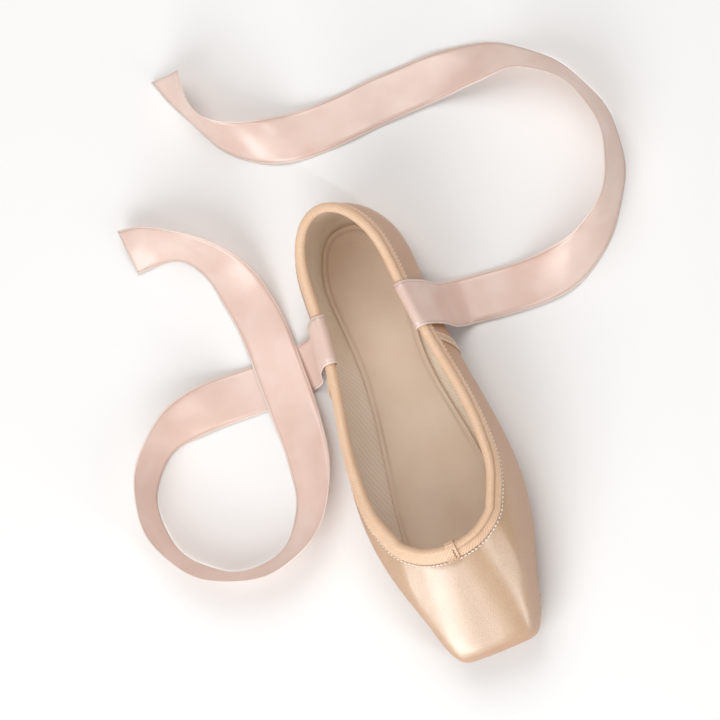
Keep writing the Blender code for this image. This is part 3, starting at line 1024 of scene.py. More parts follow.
@dataclass
class Sheet:
    """A surface laid out in rows and columns of points. Rows and columns that meet are joined.

    Attributes:
        name: Name of the piece.
        points: Rows x columns x 3, in metres.
        chart: Rows x columns x 2, distances on the cloth in metres.
        marks: Values painted on the points, by name.
        lining_from: Row from which the faces have the second material, if not 0.
    """

    name: str
    points: Array
    chart: Array
    marks: dict[str, Array] = field(default_factory=dict)
    lining_from: int = 0

    def build(self) -> bpy.types.Object:
        """Moves a grid to the points and closes it.

        Returns:
            The object, in the scene and without a material.
        """
        work = bmesh.new()
        work.loops.layers.uv.new("chart")
        rows, columns = self.points.shape[:2]
        bmesh.ops.create_grid(work, x_segments=columns - 1, y_segments=rows - 1, size=0.5)
        mesh = bpy.data.meshes.new(self.name)
        work.to_mesh(mesh)
        mesh.vertices.foreach_set("co", self.points.astype(np.float32).ravel())
        corner = np.empty(len(mesh.loops), np.int32)
        mesh.loops.foreach_get("vertex_index", corner)
        flat = self.chart.reshape(-1, 2)[corner].astype(np.float32)
        mesh.uv_layers["chart"].data.foreach_set("uv", flat.ravel())
        if self.lining_from:
            lined = np.arange(rows - 1) >= self.lining_from
            mesh.polygons.foreach_set("material_index", np.repeat(lined, columns - 1).astype(np.int32))
        for name, values in self.marks.items():
            values = np.broadcast_to(values, (rows, columns)).astype(np.float32)
            mesh.attributes.new(name, "FLOAT", "POINT").data.foreach_set("value", values.ravel())
        work.clear()
        work.from_mesh(mesh)
        bmesh.ops.remove_doubles(work, verts=work.verts, dist=MERGE)
        work.to_mesh(mesh)
        work.free()
        return place_object(self.name, mesh)


def place_object(name: str, mesh: bpy.types.Mesh) -> bpy.types.Object:
    """Puts a mesh in the scene at the origin, smooth-shaded.

    Args:
        name: Name of the piece.
        mesh: Its mesh.

    Returns:
        The object.
    """
    mesh.shade_smooth()
    made = bpy.data.objects.new(name, mesh)
    bpy.context.scene.collection.objects.link(made)
    return made


def dress(
    made: bpy.types.Object,
    materials: list[bpy.types.Material],
    nodes: tuple[str, ...] = (),
) -> None:
    """Gives a piece its materials, its body and the solids that it stands for.

    Args:
        made: The piece.
        materials: Its materials, in the order of its faces' numbers.
        nodes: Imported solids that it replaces.
    """
    for material in materials:
        made.data.materials.append(material)
    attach(made, BODY)
    if nodes:
        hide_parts(*nodes)
    LOG.info("%s: %d faces", made.name, len(made.data.polygons))


def lengths(points: Array, axis: int) -> Array:
    """Measures the way along one axis of a grid of points.

    Args:
        points: Grid of points.
        axis: 0 to go from row to row and 1 from column to column.

    Returns:
        The distance travelled at each point.
    """
    steps = np.linalg.norm(np.diff(points, axis=axis), axis=-1)
    start = np.zeros_like(np.take(steps, [0], axis))
    return np.concatenate([start, np.cumsum(steps, axis)], axis)


def fill_ends(made: bpy.types.Object) -> None:
    """Closes the open ends of a tube and turns its faces outwards.

    Args:
        made: The tube.
    """
    work = bmesh.new()
    work.from_mesh(made.data)
    edges = [edge for edge in work.edges if edge.is_boundary]
    bmesh.ops.holes_fill(work, edges=edges, sides=0)
    bmesh.ops.recalc_face_normals(work, faces=work.faces)
    work.to_mesh(made.data)
    work.free()


@dataclass
class Stitching:
    """Stitches in one mesh, each a small spindle of thread that dips into the cloth at its ends.

    Attributes:
        name: Name of the piece.
        long: Length of a stitch in metres.
        wide: Width of a stitch.
        proud: How far a stitch stands out.
    """

    name: str
    long: float
    wide: float
    proud: float

    def build(self, centres: Array, along: Array, out: Array) -> bpy.types.Object:
        """Makes the stitches.

        Args:
            centres: Middle of each stitch, on the cloth.
            along: Direction of each stitch.
            out: Normal of the cloth at each stitch.

        Returns:
            The object, in the scene and without a material.
        """
        work = bmesh.new()
        along = unit(along)
        out = unit(out - along * np.sum(out * along, -1, keepdims=True))
        across = np.cross(along, out)
        half_axes = np.stack([out * self.proud, across * self.wide / 2, along * self.long / 2], -1)
        for centre, turn in zip(centres, half_axes):
            place = Matrix.Translation(centre) @ Matrix(turn).to_4x4()
            bmesh.ops.create_uvsphere(work, u_segments=8, v_segments=5, radius=1.0, matrix=place)
        mesh = bpy.data.meshes.new(self.name)
        work.to_mesh(mesh)
        work.free()
        return place_object(self.name, mesh)


def evenly(line: Array, pitch: float, closed: bool = False) -> Array:
    """Finds evenly spaced places on a line of points.

    Args:
        line: Points in order.
        pitch: Distance wanted between places.
        closed: Whether the line comes back to its start.

    Returns:
        Places as fractional point numbers.
    """
    if closed:
        line = np.concatenate([line, line[:1]])
    run = lengths(line[:, None], 0)[:, 0]
    count = max(2, round(float(run[-1]) / pitch))
    at = (np.arange(count) + 0.5) * run[-1] / count
    return np.interp(at, run, np.arange(len(line)))


class RibbonRow(NamedTuple):
    """Lay of a ribbon at a place: its middle in millimetres, and the heading and slope of its width."""

    x: float
    y: float
    z: float
    yaw: float
    tilt: float


# Both ribbons come out of the quarter and over the collar in the same way
CROSSING = (
    RibbonRow(26.9, 51.8, 21.8, 95.5, 4.5),
    RibbonRow(25.4, 51.8, 27.3, 95.5, 4.5),
    RibbonRow(23.2, 51.7, 32.2, 96, 5),
    RibbonRow(21, 51.7, 37.5, 96, 5),
    RibbonRow(19.7, 51.8, 40.6, 96, 5),
    RibbonRow(19.9, 51.8, 42.6, 96, 5),
    RibbonRow(21.4, 51.8, 44.1, 96, 5),
    RibbonRow(23.5, 52, 44.4, 96, 5),
    RibbonRow(25.3, 52.1, 43.2, 96, 5),
    RibbonRow(27.2, 52.2, 39.5, 96, 5),
    RibbonRow(29.7, 52.2, 32.7, 96, 5),
    RibbonRow(31.9, 52.2, 24.6, 95.5, 4.5),
    RibbonRow(33.4, 52, 15.5, 95, 3),
    RibbonRow(35.9, 51.8, 7.4, 93, 2),
    RibbonRow(41.3, 51.6, 2, 91, 1),
)
LOOSE_RIGHT = (
    RibbonRow(50, 50.6, 0.8, 88, 0),
    RibbonRow(70, 48, 1.6, 77, 4),
    RibbonRow(98, 48.5, 7.6, 103, 36),
    RibbonRow(121, 61, 11.4, 132, 67),
    RibbonRow(136, 83, 12.2, 160, 76),
    RibbonRow(139, 110, 12.2, 188, 77),
    RibbonRow(129, 135, 11.9, 216, 72),
    RibbonRow(110, 152, 10.2, 242, 54),
    RibbonRow(88, 159, 5.6, 262, 24),
    RibbonRow(65, 161, 1.6, 269, 4),
    RibbonRow(42, 161, 0.8, 271, 0),
    RibbonRow(19, 160, 0.8, 271, -1),
    RibbonRow(-4, 160, 2.6, 267, -10),
    RibbonRow(-26, 165, 8.0, 248, -38),
    RibbonRow(-43, 177, 11.7, 222, -68),
    RibbonRow(-52, 196, 11.6, 199, -68),
    RibbonRow(-55, 216, 8.2, 187, -36),
)
LOOSE_LEFT = (
    RibbonRow(-50, 51, 0.5, 90, 0),
    RibbonRow(-66, 51, 0.5, 90, 0),
    RibbonRow(-82, 51.5, 2.2, 92, 8),
    RibbonRow(-100, 50.5, 6.7, 98, 30),
    RibbonRow(-120, 43, 11.1, 122, 62),
    RibbonRow(-135, 26, 12.1, 153, 74),
    RibbonRow(-139, 5, 12.2, 183, 76),
    RibbonRow(-131, -17, 12.1, 213, 75),
    RibbonRow(-114, -31, 11.9, 244, 72),
    RibbonRow(-93, -35, 11.4, 275, 66),
    RibbonRow(-73, -27, 10.0, 308, 52),
    RibbonRow(-61, -10, 7.6, 335, 36),
    RibbonRow(-56, 12, 4.7, 352, 19),
    RibbonRow(-55, 32, 3.4, 357, 6),
    RibbonRow(-55, 52, 2.8, 360, 0),
    RibbonRow(-55, 72, 1.8, 361, 0),
    RibbonRow(-57, 92, 3.0, 368, 10),
    RibbonRow(-63, 112, 7.6, 385, 35),
    RibbonRow(-76, 128, 11.0, 410, 60),
    RibbonRow(-92, 136, 8.6, 430, 42),
    RibbonRow(-108, 139, 4.0, 437, 14),
)


@dataclass
class Ribbon:
    """A ribbon, sewn inside the quarter, that comes over the collar and lies loose on the floor."""

    side: Side
    width: float = 0.024
    thickness: float = 0.00035
    real_length: float = 0.48
    step: float = 0.0018
    cells_across: int = 8
    slant: float = 0.007
    slant_from_end: float = 0.03
    ripple: float = 0.00035
    ripple_pitch: float = 0.031
    ripple_start: tuple[float, float] = (0.09, 0.14)
    sewn: tuple[float, float] = (0.0015, 0.0175)
    sewn_margin: float = 0.0012
    stitch_pitch: float = 0.0024

    @property
    def name(self) -> str:
        """Name of the solid that the ribbon replaces."""
        return f"ribbon_{self.side.name.lower()}"

    def rows(self) -> Array:
        """Puts the ribbon's lay together.

        Returns:
            Its rows, in metres and degrees.
        """
        crossing = np.array(CROSSING, float)
        if self.side is Side.LEFT:
            crossing[:, 0] *= -1
            crossing[:, 3] = 180 - crossing[:, 3]
        loose = np.array(LOOSE_RIGHT if self.side is Side.RIGHT else LOOSE_LEFT, float)
        return np.concatenate([crossing, loose]) * np.array([MM, MM, MM, 1, 1])

    def surface(self, along: Array, across: Array) -> tuple[Array, Array]:
        """Finds the middle surface of the ribbon.

        Args:
            along: Distances from its sewn end, in metres.
            across: Distances from its middle line.

        Returns:
            Points, and normals of the face that shows on the floor.
        """
        rows = self.rows()
        knots = lengths(rows[:, None, :3], 0)[:, 0]
        route = spline(knots, rows)

        def middle(at: Array) -> tuple[Array, Array]:
            """Finds the ribbon's middle line.

            Args:
                at: Distances from the sewn end.

            Returns:
                Points, and the direction of the ribbon's width there.
            """
            lay = route(np.clip(at, 0, knots[-1]))
            yaw, tilt = np.radians(lay[..., 3]), np.radians(lay[..., 4])
            width = np.stack([np.cos(yaw) * np.cos(tilt), np.sin(yaw) * np.cos(tilt), np.sin(tilt)], -1)
            return lay[..., :3], width

        centre, width = middle(along)
        ahead, behind = middle(along + MM)[0], middle(along - MM)[0]
        normal = unit(np.cross(width, ahead - behind))
        share = 2 * across / self.width
        phase = along * 2 * math.pi / self.ripple_pitch + 1.3 * share
        ripple = self.ripple * smooth(*self.ripple_start, along) * share**2 * np.sin(phase)
        return centre + width * across[..., None] + normal * ripple[..., None], normal

    def build(self, finish: RibbonSatin, thread: bpy.types.Material) -> None:
        """Args:
            finish: Finish of the ribbon.
            thread: Material of its stitches.
        """
        rows = self.rows()
        knots = lengths(rows[:, None, :3], 0)[:, 0]
        total = knots[-1]
        along = np.linspace(0, total, round(total / self.step) + 1)
        across = np.linspace(-0.5, 0.5, self.cells_across + 1) * self.width
        by_end = smooth(total - self.slant_from_end, total, along)[:, None]
        v = along[:, None] - self.slant * (0.5 - across / self.width) * by_end
        u = np.broadcast_to(across, v.shape)
        points, _ = self.surface(v, u)
        ribbon = Sheet(self.name + "_satin", points, np.stack([u, v], -1)).build()
        wall = ribbon.modifiers.new("wall", "SOLIDIFY")
        wall.thickness, wall.offset, wall.use_even_offset = self.thickness, 0, True
        dress(ribbon, [finish.material()], (self.name,))
        path = spline(knots, rows[:, :3])(along)
        self.sew(thread)

    def sew(self, thread: bpy.types.Material) -> None:
        """Sews the ribbon to the quarter with small stitches round a square.

        Args:
            thread: Material of the stitches.
        """
        low, high = self.sewn
        edge = self.width / 2 - self.sewn_margin
        corners = np.array([(low, -edge), (high, -edge), (high, edge), (low, edge)])
        places = evenly(corners, self.stitch_pitch, closed=True)
        ring = np.concatenate([corners, corners[:1]])
        start, end = ring[places.astype(int)], ring[places.astype(int) + 1]
        spot = start + (end - start) * (places % 1)[:, None]
        ahead = spot + unit(end - start) * 0.1 * MM
        centres, normal = self.surface(spot[:, 0], spot[:, 1])
        onward, _ = self.surface(ahead[:, 0], ahead[:, 1])
        out = -normal if np.mean(normal[:, 0] * centres[:, 0]) > 0 else normal
        stitches = Stitching(self.name + "_stitches", self.stitch_pitch * 0.66, wide=0.0007, proud=0.0004)
        made = stitches.build(centres + out * self.thickness / 2, onward - centres, out)
        dress(made, [thread])


class Pleat(NamedTuple):
    """A flat fold of the lasted satin, from the sole's edge out to the platform."""

    start: float
    turn: float
    depth: float
    reach: float


class Crease(NamedTuple):
    """A soft trough in the satin: places round the shoe in metres and up the ribs, width and depth."""

    places: tuple[tuple[float, float], ...]
    width: float
    depth: float


# Pleats in front of the sole, by their distance round the widest line from the toe's middle
PLEATS = (
    Pleat(0.0150, 0.004, 0.0006, 0.84),
    Pleat(0.0195, 0.006, 0.0007, 0.90),
    Pleat(0.0250, 0.008, 0.0007, 1.02),
    Pleat(0.0315, 0.009, 0.0007, 1.06),
    Pleat(0.0390, 0.010, 0.0006, 0.98),
    Pleat(0.0480, 0.009, 0.0005, 0.92),
)

# Wrinkles at the side of the box and by the heel, on both sides of the shoe
CREASES = (
    Crease(((0.046, 0.10), (0.041, 0.55), (0.036, 0.95), (0.031, 1.12)), 0.0022, 0.00045),
    Crease(((0.058, 0.06), (0.062, 0.50), (0.061, 0.85), (0.056, 1.15), (0.050, 1.28)), 0.0024, 0.00050),
    Crease(((0.066, 0.10), (0.071, 0.45), (0.073, 0.75)), 0.0026, 0.00030),
    Crease(((0.205, 0.05), (0.207, 0.35), (0.203, 0.60)), 0.0034, 0.00040),
    Crease(((0.219, 0.05), (0.217, 0.30), (0.221, 0.52)), 0.0030, 0.00045),
    Crease(((0.233, 0.05), (0.236, 0.28), (0.234, 0.46)), 0.0032, 0.00040),
    Crease(((0.143, 1.30), (0.150, 1.10), (0.152, 0.80)), 0.0060, 0.00025),
    Crease(((0.190, 1.55), (0.199, 1.30), (0.202, 0.95)), 0.0070, 0.00025),
)


@dataclass
class Upper:
    """Satin over canvas, pleated in under the sole, with its cotton lining."""

    last: Last
    toe_zone: tuple[float, float] = (0.058, 0.098)
    toe_step: float = 0.00055
    body_step: float = 0.0017
    low_rows: int = 26
    top_rows: int = 42
    pleat_spread: tuple[float, float] = (0.0040, 0.0075)
    pleat_fade: float = 0.45
    crease_reach: float = 0.045
    gather_pitch: float = 0.0052
    gather_depth: float = 0.00022
    waist_gathers: tuple[float, float] = (0.10, 0.14)
    heel_gathers: tuple[float, float] = (0.165, 0.195)
    scuff_place: tuple[float, float] = (0.0225, 1.3)
    scuff_size: float = 0.007

    def columns(self) -> Array:
        """Spaces the columns, closer together at the toe.

        Returns:
            Places round the shoe from heel to heel.
        """
        s = np.linspace(-self.last.half, self.last.half, 4001)
        step = self.toe_step + (self.body_step - self.toe_step) * smooth(*self.toe_zone, np.abs(s))
        count = np.concatenate([[0], np.cumsum(np.diff(s) / (step[1:] + step[:-1]) * 2)])
        return np.interp(np.linspace(0, count[-1], 2 * math.ceil(count[-1] / 2) + 1), count, s)

    def pleats(self, side: Array, t: Array) -> Array:
        """Folds the satin in front of the sole: each pleat has a steep edge and a long slope.

        Args:
            side: Distances round the shoe from the toe's middle.
            t: Places up the ribs.

        Returns:
            How far the pleats stand out.
        """
        height = np.zeros_like(side)
        narrow, broad = self.pleat_spread
        for pleat in PLEATS:
            line = pleat.start + pleat.turn * np.clip(t, 0, 1.3)
            behind = line - side
            slope = np.exp(-1.6 * behind / (narrow + (broad - narrow) * np.clip(t, 0, 1)))
            fold = np.where(behind > 0, slope, 0)
            height += pleat.depth * fold * (1 - smooth(pleat.reach - self.pleat_fade, pleat.reach, t))
        return height * smooth(-0.2, 0.1, t)

    def creases(self, side: Array, points: Array) -> Array:
        """Presses the creases in, each with a soft bank on both sides.

        Args:
            side: Distances round the shoe from the toe's middle.
            points: Points of the upper.

        Returns:
            How far the creases change the satin's height, below 0 in their troughs.
        """
        height = np.zeros_like(side)
        folded = points.copy()
        folded[:, 0] = np.abs(folded[:, 0])
        for crease in CREASES:
            knots = np.linspace(0, 1, len(crease.places))
            path = spline(knots, np.array(crease.places))(np.linspace(0, 1, 40))
            line = self.last.point(path[:, 0], path[:, 1])
            near = np.abs(side - path[:, 0].mean()) < self.crease_reach
            away = np.linalg.norm(folded[near][:, None, :] - line, axis=-1)
            taper = np.sin(math.pi * (away.argmin(1) + 0.5) / len(path)) ** 0.5
            away = away.min(1)
            trough = hump(away, crease.width) - 0.45 * hump(away, 2.2 * crease.width)
            height[near] -= crease.depth * taper * trough
        return height

    def gathers(self, side: Array, t: Array) -> Array:
        """Gathers the satin a little above the sole, most of all round the heel.

        Args:
            side: Distances round the shoe from the toe's middle.
            t: Places up the ribs.

        Returns:
            How far the gathers stand out.
        """
        waves_round = np.sin(2 * math.pi * side / self.gather_pitch + 2.1 * np.sin(side * 190))
        where = 0.25 * smooth(*self.waist_gathers, side) + 0.75 * smooth(*self.heel_gathers, side)
        return self.gather_depth * waves_round * where * (1 - smooth(0.25, 0.62, t)) * smooth(-0.1, 0.05, t)

    def worn(self, points: Array) -> Array:
        """Scuffs the corner of the platform in small patches.

        Args:
            points: Points of the upper.

        Returns:
            How worn the satin is, 0 to 1.
        """
        corner = self.last.point(*np.array(self.scuff_place))
        patches = smooth(0.35, 0.75, np.sin(points[..., 0] * 2900) * np.sin(points[..., 2] * 2300))
        return hump(np.linalg.norm(points - corner, axis=-1), self.scuff_size) * patches

    def build(self, satin: bpy.types.Material, lining: bpy.types.Material) -> None:
        """Makes the upper as one closed wall: the satin outside and the smooth lining inside.

        Args:
            satin: Material of the outside.
            lining: Material of the inside.
        """
        s = self.columns()
        under = [-1, -0.66, -0.33, -0.12]
        low = np.linspace(0, 1, self.low_rows + 1)
        top = np.linspace(1, 2, self.top_rows + 1)[1:]
        s, t = np.meshgrid(s, np.concatenate([under, low, top]))
        points, normal = self.last.point(s, t), self.last.normal(s, t)
        side = np.abs(s)
        pressed = self.creases(side.ravel(), points.reshape(-1, 3)).reshape(s.shape)
        relief = self.pleats(side, t) + pressed + self.gathers(side, t)
        inner = (points - normal * self.last.wall)[::-1]
        points = points + normal * relief[..., None]
        # Painted shade: the satin is marked darker in the troughs of its creases and on the low sides that
        # face away from the top
        fold = smooth(0.0001, 0.0007, np.abs(relief)) * (relief < 0)
        low_shade = 1 - smooth(0.15, 0.85, normal[..., 2])
        marks = {"shade": np.maximum(0.5 * fold, 0.9 * low_shade), "scuff": 0.6 * self.worn(points)}
        for name, values in marks.items():
            marks[name] = np.concatenate([values, np.zeros_like(values), values[:1]])
        up = np.concatenate([lengths(points, 0), lengths(inner, 0), np.zeros((1, s.shape[1]))])
        chart = np.stack([np.broadcast_to(s[:1], up.shape), up], -1)
        rows = np.concatenate([points, inner, points[:1]])
        upper = Sheet("satin_upper", rows, chart, marks, lining_from=len(points)).build()
        dress(upper, [satin, lining], ("upper",))


@dataclass
class Collar:
    """Bias binding folded over the collar, its lapped join at the throat, and its stitches."""

    last: Last
    outside: float = 0.0062
    inside: float = 0.0055
    thickness: float = 0.0008
    puff: float = 0.0003
    pucker: float = 0.00012
    pucker_pitch: float = 0.0061
    groove_at: float = 0.0019
    groove_width: float = 0.0010
    groove_depth: float = 0.0004
    groove_deepens: tuple[float, float] = (-0.004, 0.016)
    edge_width: float = 0.0007
    join_width: float = 0.005
    join_thickness: float = 0.0005
    lap_rounding: float = 0.00018
    stitch_pitch: float = 0.00205
    stitch_below: float = 0.0006
    tack_points: int = 7
    tack_sides: tuple[float, float] = (0.0011, 0.0022)
    step: float = 0.0011

    @property
    def lap_face(self) -> float:
        """How far the lap's face is out of the upper."""
        return 2 * self.last.gap + self.thickness + self.puff + self.join_thickness

    def profile(self, start: float, thickness: float, outside: float, inside: float) -> Array:
        """Draws the folded band in section.

        Args:
            start: Clearance from the upper on both faces.
            thickness: Thickness of the band.
            outside: Reach down the outer face.
            inside: Reach down the inner face.

        Returns:
            Closed rows of distance below the edge and distance out of the outer face.
        """
        far, puff, wall = start + thickness, self.puff, self.last.wall
        face = (
            (outside, start + thickness * 0.35),
            (outside - thickness * 0.4, far * 0.93),
            (outside - thickness * 1.2, far),
            (self.groove_at + 0.0016, far + puff * 0.5),
            (self.groove_at + 0.0007, far + puff * 0.7),
            (self.groove_at, far + puff * 0.8),
            (self.groove_at - 0.0006, far + puff),
            (thickness * 1.2, far + puff * 1.2),
            (thickness * 0.5, far + puff * 1.1),
            (-far * 0.1, far + puff * 0.7),
            (-far * 0.55, far * 0.78),
            (-far * 0.92, far * 0.28),
            (-far - puff, -wall * 0.3),
            (-far - puff, -wall * 0.7),
            (-far * 0.92, -wall - far * 0.28),
            (-far * 0.55, -wall - far * 0.78),
            (0.0, -wall - far),
            (thickness * 1.5, -wall - far),
            (inside - thickness, -wall - far * 0.95),
            (inside, -wall - start - thickness * 0.35),
        )
        back = (
            (inside, -wall - start),
            (inside * 0.5, -wall - start),
            (0.0, -wall - start),
            (-start, -wall - start),
            (-start, start),
            (0.0, start),
            (outside * 0.5, start),
            (outside, start),
        )
        return np.array(face + back)

    def band(self, name: str, s: Array, profile: Array, pucker: float) -> Sheet:
        """Runs a profile round the collar.

        Args:
            name: Name of the piece.
            s: Places along the collar.
            profile: Distance below the edge and distance out, row by row.
            pucker: How far the band waves in and out; 0 leaves out its groove too.

        Returns:
            The band as a tube.
        """
        last = self.last
        down, out = np.concatenate([profile, profile[:1]]).T
        at_s, at_t = last.below_collar(s, np.maximum(down, 0))
        base, normal = last.point(at_s, at_t), last.normal(at_s, at_t)
        edge = unit(last.point(s + NEAR, 2.0) - last.point(s - NEAR, 2.0))
        rise = np.cross(last.normal(s, 2.0), edge)
        run = lengths(last.point(s, 2.0)[:, None], 0)
        wave = np.sin(2 * math.pi * run / self.pucker_pitch + 2.0 * np.sin(run * 210))
        wave += 0.6 * np.sin(run * 431 + 1.0)
        proud = out > self.thickness
        shape = np.where(proud, np.sin(math.pi * np.clip(down / self.outside, 0, 1)), 0)
        fold = hump(down - self.groove_at, self.groove_width) * proud * (pucker > 0)
        depth = (0.15 + 0.85 * smooth(*self.groove_deepens, s))[:, None] * fold
        out = out + pucker * wave * shape - self.groove_depth * depth
        points = base + normal * out[..., None] + rise[:, None, :] * np.maximum(-down, 0)[:, None]
        points = np.swapaxes(points, 0, 1)
        # Painted shade: the binding is marked darker in its groove and along its lower edge, where it meets
        # the satin
        groove = depth.T + hump(down - self.outside, self.edge_width)[:, None]
        chart = np.stack(np.broadcast_arrays(run.T, lengths(points, 0)), -1)
        return Sheet(name, points, chart, {"groove": np.clip(groove, 0, 1)})

    def build(
        self, twill: bpy.types.Material, thread: bpy.types.Material, dark_thread: bpy.types.Material
    ) -> None:
        """Makes the binding, its join and its stitches.

        Args:
            twill: Material of the binding.
            thread: Material of the stitches.
            dark_thread: Material of the zigzag on the lap.
        """
        last = self.last
        s = np.linspace(-last.half, last.half, round(last.around / self.step) + 1)
        profile = self.profile(last.gap, self.thickness, self.outside, self.inside)
        binding = self.band("bias_binding", s, profile, self.pucker).build()
        dress(binding, [twill], ("binding",))
        middle, beside = last.collar(np.array([0.0, self.join_width / 2]))[:, :2]
        scale = np.linalg.norm(beside - middle) / (self.join_width / 2)
        s = np.linspace(-0.5, 0.5, 15) * self.join_width / scale
        edge = self.join_thickness
        profile = self.profile(self.lap_face - edge, edge, self.outside + edge, self.inside + edge)
        join = self.band("binding_lap", s, profile, 0.0).build()
        fill_ends(join)
        rounding = join.modifiers.new("rounding", "BEVEL")
        rounding.width, rounding.segments, rounding.limit_method = self.lap_rounding, 2, "ANGLE"
        dress(join, [twill], ("binding_join",))
        self.stitch(thread)
        self.tack(dark_thread)

    def stitch(self, thread: bpy.types.Material) -> None:
        """Sews the binding along its lower edge.

        Args:
            thread: Material of the stitches.
        """
        last = self.last
        s = np.linspace(-last.half, last.half, FINE_SAMPLES)[:-1]
        at_s, at_t = last.below_collar(s, np.array([self.outside + self.stitch_below]))[..., 0]
        line, normal = last.point(at_s, at_t), last.normal(at_s, at_t)
        i = np.rint(evenly(line, self.stitch_pitch, closed=True)).astype(int) % len(line)
        along = np.roll(line, -2, 0)[i] - np.roll(line, 2, 0)[i]
        row = Stitching("binding_stitches", self.stitch_pitch * 0.76, wide=0.0011, proud=0.0008)
        made = row.build(line[i] + normal[i] * 0.1 * MM, along, normal[i])
        dress(made, [thread])

    def tack(self, thread: bpy.types.Material) -> None:
        """Tacks the lap down with a zigzag that follows its swelling face.

        Args:
            thread: Material of the zigzag.
        """
        last = self.last
        down = np.linspace(0.0009, self.outside - 0.0006, self.tack_points)
        side = np.resize(self.tack_sides, self.tack_points)
        at_s, at_t = (np.diagonal(places) for places in last.below_collar(side, down))
        swell = self.puff * np.interp(down, [0, self.groove_at, 0.0035, 0.005], [1.1, 0.8, 0.5, 0.0])
        normal = last.normal(at_s, at_t)
        knots = last.point(at_s, at_t) + normal * (self.lap_face + swell + 0.00005)[:, None]
        zigzag = Stitching("lap_tack", long=0.0017, wide=0.00045, proud=0.0003)
        made = zigzag.build((knots[1:] + knots[:-1]) / 2, knots[1:] - knots[:-1], normal[1:])
        dress(made, [thread])


@dataclass
class Seams:
    """Raised lapped seams at both sides and down the back, each with two rows of stitches."""

    last: Last
    side_width: float = 0.005
    back_width: float = 0.004
    thickness: float = 0.0005
    top: float = 0.150
    foot: float = 0.140
    sole_gap: float = 0.0025
    binding_width: float = 0.0062
    binding_gap: float = 0.0001
    stitch_pitch: float = 0.0021
    row_inset: float = 0.0009
    rows: int = 61

    def section(self, width: float) -> Array:
        """Draws a band in section: its face, with a ditch under each row of stitches, and its back.

        Args:
            width: Width of the band.

        Returns:
            Closed rows of distance across and distance out of the upper.
        """
        half, thick, gap, inset = width / 2, self.thickness, self.last.gap, self.row_inset
        right = (
            (inset + 0.0004, 1.0),
            (inset, 0.72),
            (inset - 0.0003, 1.0),
            (0.0004, 1.0),
            (0.00015, 0.8),
            (0.0, 0.25),
        )
        rising = [(inwards - half, gap + thick * share) for inwards, share in reversed(right)]
        falling = [(half - inwards, gap + thick * share) for inwards, share in right]
        middle = [(0.0, gap + thick * 1.25)]
        back = [(half, gap * 0.4), (0.0, gap * 0.4), (-half, gap * 0.4)]
        return np.array(rising + middle + falling + back + rising[:1])

    def band(self, name: str, top: float, foot: float, width: float) -> tuple[Sheet, Face]:
        """Lays a band on the upper from the binding down to the sole.

        Args:
            name: Name of the piece.
            top: Place on the collar.
            foot: Place on the sole's edge.
            width: Width of the band.

        Returns:
            The band as a tube, and a function that finds points on its face.
        """
        last = self.last
        up = np.linspace(0, 1, 30)
        run = lengths(last.point(np.array([foot]), up)[:, None], 0)[:, 0]
        t_foot = np.interp(self.sole_gap + last.sole_overlap, run, up)
        top_s, t_top = last.below_collar(np.array([top]), [self.binding_width + self.binding_gap])[:, 0, 0]
        t = np.linspace(t_foot, t_top, self.rows)
        middle = foot + (top_s - foot) * (t - t_foot) / (t_top - t_foot)
        small = last.around * 1e-3
        stride = last.point(middle + small, t) - last.point(middle - small, t)
        scale = np.linalg.norm(stride, axis=1) / (2 * small)

        def on_face(part: Array, across: Array, out: Array) -> Array:
            """Finds points of the band.

            Args:
                part: Share of the way up.
                across: Distances across the band.
                out: Distances out of the upper.

            Returns:
                The points.
            """
            at_t = t_foot + (t_top - t_foot) * part
            at_s = np.interp(at_t, t, middle) + across / np.interp(at_t, t, scale)
            return last.point(at_s, at_t) + last.normal(at_s, at_t) * np.asarray(out)[..., None]

        section = self.section(width)
        part, across = np.meshgrid(np.linspace(0, 1, self.rows), section[:, 0])
        points = on_face(part, across, np.broadcast_to(section[:, 1:], part.shape))
        chart = np.stack([lengths(points, 1), lengths(points, 0)], -1)
        # Painted shade in the ditch under each row of stitches
        ditch = np.isclose(np.abs(section[:, 0]), width / 2 - self.row_inset).astype(float)[:, None]
        marks = {"shade": 0.7 * ditch, "scuff": np.zeros_like(ditch)}
        return Sheet(name, points, chart, marks), on_face

    def build(self, satin: bpy.types.Material, thread: bpy.types.Material) -> None:
        """Makes the three seams and their stitches.

        Args:
            satin: Material of the bands.
            thread: Material of the stitches.
        """
        last = self.last
        top, foot = last.place_of(last.collar, self.top), last.place_of(last.sole, self.foot)
        seams = (
            ("side_seam_right", top, foot, self.side_width),
            ("side_seam_left", -top, -foot, self.side_width),
            ("back_seam", last.half, last.half, self.back_width),
        )
        for node, at_top, at_foot, width in seams:
            sheet, on_face = self.band(node + "_band", at_top, at_foot, width)
            made = sheet.build()
            fill_ends(made)
            dress(made, [satin], (node,))
            self.stitch(node + "_stitches", on_face, width, thread)

    def stitch(self, name: str, on_face: Face, width: float, thread: bpy.types.Material) -> None:
        """Sews both rows of a seam.

        Args:
            name: Name of the stitches.
            on_face: Function that finds points of the band.
            width: Width of the band.
            thread: Material of the stitches.
        """
        centres, along, out = [], [], []
        up = np.linspace(0.01, 0.99, 2 * self.rows - 2)
        face = self.last.gap + self.thickness * 0.75
        for across in (self.row_inset - width / 2, width / 2 - self.row_inset):
            line = on_face(up, np.full_like(up, across), np.full_like(up, face))
            higher = on_face(up, np.full_like(up, across), np.full_like(up, face + MM))
            i = np.clip(np.rint(evenly(line, self.stitch_pitch)).astype(int), 1, len(up) - 2)
            centres.append(line[i])
            along.append(line[i + 1] - line[i - 1])
            out.append(higher[i] - line[i])
        row = Stitching(name, self.stitch_pitch * 0.7, wide=0.0006, proud=0.0003)
        made = row.build(*(np.concatenate(part) for part in (centres, along, out)))
        dress(made, [thread])


